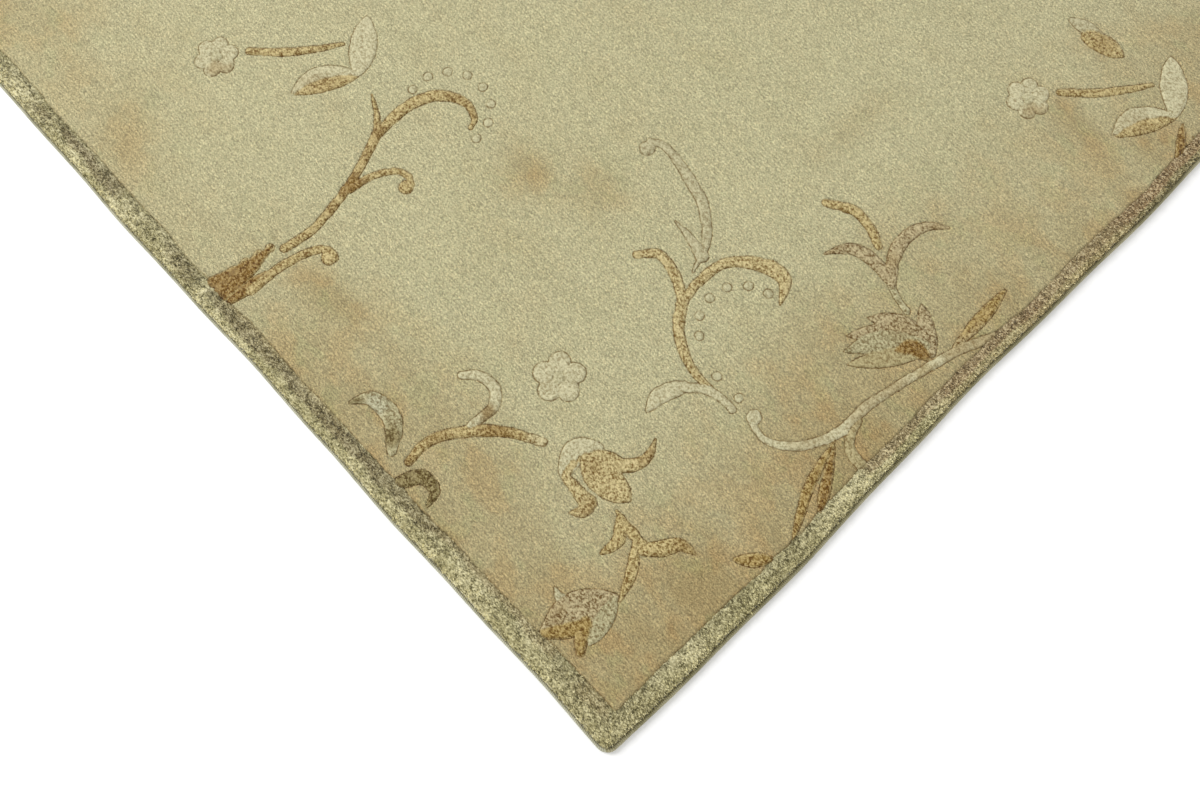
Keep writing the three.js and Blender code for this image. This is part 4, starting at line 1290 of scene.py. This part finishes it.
def build_whip(node, corner, cord, material, slot):
    """One whipped edge between two corners, with a ridge for each turn of yarn."""
    rings = whip_rings(corner, cord["height"])
    centre = rings.mean(1, keepdims=True)
    station = np.arange(len(rings))
    ridge = np.where(station % 2 == 0, 1.0, 0.0)
    loose = noise(station * 1.0, station * 0.0, 5.0, 1.0, 71 + corner)
    swell = WHIP_SWELL["ridge"] * ridge - WHIP_SWELL["dip"] * (1 - ridge) + WHIP_SWELL["uneven"] * loose
    shaped = centre + (rings - centre) * (1.0 + swell[:, None, None])
    shaped[:, :WHIP_FEET, 2] = 0.0
    shaped[..., 2] = np.clip(shaped[..., 2], 0.0, rings[..., 2].max() * WHIP_TALLEST)
    count = len(WHIP_SECTION)
    faces = strip_faces(len(rings), count)[:, ::-1]
    caps = [np.arange(count), (len(rings) - 1) * count + np.arange(count)[::-1]]
    name = node.replace("overcast", "whipping")
    piece = add_mesh(name, shaped.reshape(-1, 3), faces, {"turns": np.repeat(ridge, count)})
    close_ends(piece, caps)
    piece.data.materials.append(material)
    seat(piece, slot, node)
    return piece


# The foundation's cells in plan, and its thickness
BACK_CELL = 8.0
BACK_THICKNESS = 2.6


def build_back():
    """The foundation: a thin closed sheet whose lower face is the woven back."""
    out_end, out_side = END_CORD["width"] + GAP + 0.1, SIDE_CORD["width"] + GAP + 0.1
    half_x, half_y = LENGTH / 2 - out_end, WIDTH / 2 - out_side
    nx, ny = int(2 * half_x / BACK_CELL), int(2 * half_y / BACK_CELL)
    along, across = np.linspace(-half_x, half_x, nx + 1), np.linspace(-half_y, half_y, ny + 1)
    gx, gy = np.meshgrid(along, across, indexing="ij")
    silk, line_a, line_b, tone, *_ = paint(gx, gy)

    # Corners are rounded by pulling their points in to an arc
    rounded = CORNER_RADIUS - END_CORD["width"] - GAP
    over_x = np.maximum(np.abs(gx) - (half_x - rounded), 0)
    over_y = np.maximum(np.abs(gy) - (half_y - rounded), 0)
    reach = np.hypot(over_x, over_y)
    pull = np.where(reach > rounded, 1 - rounded / np.maximum(reach, 1e-9), 0)
    x, y = settle(gx - np.sign(gx) * over_x * pull, gy - np.sign(gy) * over_y * pull)

    count = (nx + 1) * (ny + 1)
    lower = np.column_stack([x.ravel(), y.ravel(), np.zeros(count)])
    upper = lower + [0, 0, BACK_THICKNESS]
    index = np.arange(count).reshape(nx + 1, ny + 1)
    quad = np.stack([index[:-1, :-1], index[:-1, 1:], index[1:, 1:], index[1:, :-1]], -1).reshape(-1, 4)
    rim = np.concatenate([index[:, 0], index[-1, 1:], index[-2::-1, -1], index[0, -2:0:-1]])
    after = np.roll(rim, -1)
    wall = np.column_stack([rim, after, after + count, rim + count])
    tan = tanned(gx, gy).ravel()
    layers = {
        "lines": np.tile(np.column_stack([silk.ravel(), line_a.ravel(), line_b.ravel()]), (2, 1)),
        "wear_and_sheen": np.tile(np.column_stack([tan, tan * 0, tan * 0]), (2, 1)),
        "tone": np.tile(tone.reshape(-1, 3), (2, 1)),
    }
    piece = add_mesh("foundation", np.vstack([lower, upper]), np.vstack([quad, wall]), layers)

    # The upper face lies hidden under the pile and is one face inside the rim
    close_ends(piece, [count + np.searchsorted(np.sort(rim), rim)])
    piece.data.materials.append(foundation_material())
    seat(piece, "foundation", "rug")
    return piece


# The stage, in metres
FLOOR_HALF = 6.0
FLOOR_DROP = 0.0004
FLOOR_GLOW = 0.10
WORLD_STRENGTH = 0.655
KEY_LIGHT = {"place": (-1.7, 3.2, 3.9), "aim": (-0.5, -0.3, 0.0), "size": 2.4, "power": 169}


def build_floor():
    g = Graph("floor")
    tone = g.mix(g.span(g.noise(400, 400), 0.3, 0.7), TONES["floor"], TONES["floor light"])
    g.links.new(tone, g.shader.inputs["Base Color"])
    g.constants({"Roughness": 0.9, "Emission Color": (1.0, 1.0, 1.0, 1.0), "Emission Strength": FLOOR_GLOW})
    mesh = bpy.data.meshes.new("floor")
    corners = [(x * FLOOR_HALF, y * FLOOR_HALF, 0) for x, y in ((-1, -1), (1, -1), (1, 1), (-1, 1))]
    mesh.from_pydata(corners, [], [(0, 1, 2, 3)])
    mesh.materials.append(g.material)
    floor = bpy.data.objects.new("floor", mesh)
    bpy.context.scene.collection.objects.link(floor)
    floor.location.z = -FLOOR_DROP


def build_camera():
    """The photograph's view: the rug's near corner at its pixel, at its depth."""
    forward = Vector((
        math.cos(CAMERA_PITCH) * math.cos(CAMERA_HEADING),
        math.cos(CAMERA_PITCH) * math.sin(CAMERA_HEADING),
        -math.sin(CAMERA_PITCH),
    ))
    level_right = Vector((math.sin(CAMERA_HEADING), -math.cos(CAMERA_HEADING), 0))
    down = forward.cross(level_right)
    right = math.cos(CAMERA_ROLL) * level_right + math.sin(CAMERA_ROLL) * down
    down = math.cos(CAMERA_ROLL) * down - math.sin(CAMERA_ROLL) * level_right
    corner = Vector((-LENGTH / 2 * MM, -WIDTH / 2 * MM, FIELD_HEIGHT * MM))
    aside = (CORNER_PIXEL[0] - PHOTO_WIDTH / 2) / FOCAL_PIXELS
    below = (CORNER_PIXEL[1] - PHOTO_HEIGHT / 2) / FOCAL_PIXELS
    place = corner - CORNER_DEPTH * (forward + aside * right + below * down)
    data = bpy.data.cameras.new("camera")
    data.sensor_width = SENSOR_WIDTH
    data.lens = FOCAL_PIXELS * SENSOR_WIDTH / PHOTO_WIDTH
    data.clip_start = 0.01
    camera = bpy.data.objects.new("camera", data)
    axes = Matrix((right, -down, -forward)).transposed().to_4x4()
    camera.matrix_world = Matrix.Translation(place) @ axes
    bpy.context.scene.collection.objects.link(camera)
    bpy.context.scene.camera = camera


def build_light():
    """Soft studio light: an even white world, and one wide lamp beyond the rug's far side."""
    world = bpy.data.worlds.new("soft_studio")
    world.use_nodes = True
    background = world.node_tree.nodes["Background"]
    background.inputs["Color"].default_value = (1.0, 1.0, 1.0, 1.0)
    background.inputs["Strength"].default_value = WORLD_STRENGTH
    bpy.context.scene.world = world
    data = bpy.data.lights.new("key", "AREA")
    data.shape = "DISK"
    data.size = KEY_LIGHT["size"]
    data.energy = KEY_LIGHT["power"]
    light = bpy.data.objects.new("key", data)
    light.location = KEY_LIGHT["place"]
    towards = Vector(KEY_LIGHT["aim"]) - Vector(KEY_LIGHT["place"])
    light.rotation_euler = towards.to_track_quat("-Z", "Y").to_euler()
    bpy.context.scene.collection.objects.link(light)
    bpy.context.scene.view_settings.view_transform = "Standard"


build_camera()
build_light()
build_floor()
back = build_back()
field = build_field()
border = build_border()
side_yarn = yarn_material("side_yarn", TONES["side yarn"], TONES["worn side yarn"])
end_yarn = yarn_material("end_yarn", TONES["end yarn"], TONES["worn end yarn"])
EDGES_COLUMNS = ("node", "corner", "cord", "material", "slot")
EDGES = [
    ("side_overcast_far", 0, SIDE_CORD, side_yarn, "side_yarn"),
    ("end_overcast_near", 1, END_CORD, end_yarn, "end_yarn"),
    ("side_overcast_near", 2, SIDE_CORD, side_yarn, "side_yarn"),
    ("end_overcast_far", 3, END_CORD, end_yarn, "end_yarn"),
]
whips = [build_whip(**dict(zip(EDGES_COLUMNS, row))) for row in EDGES]
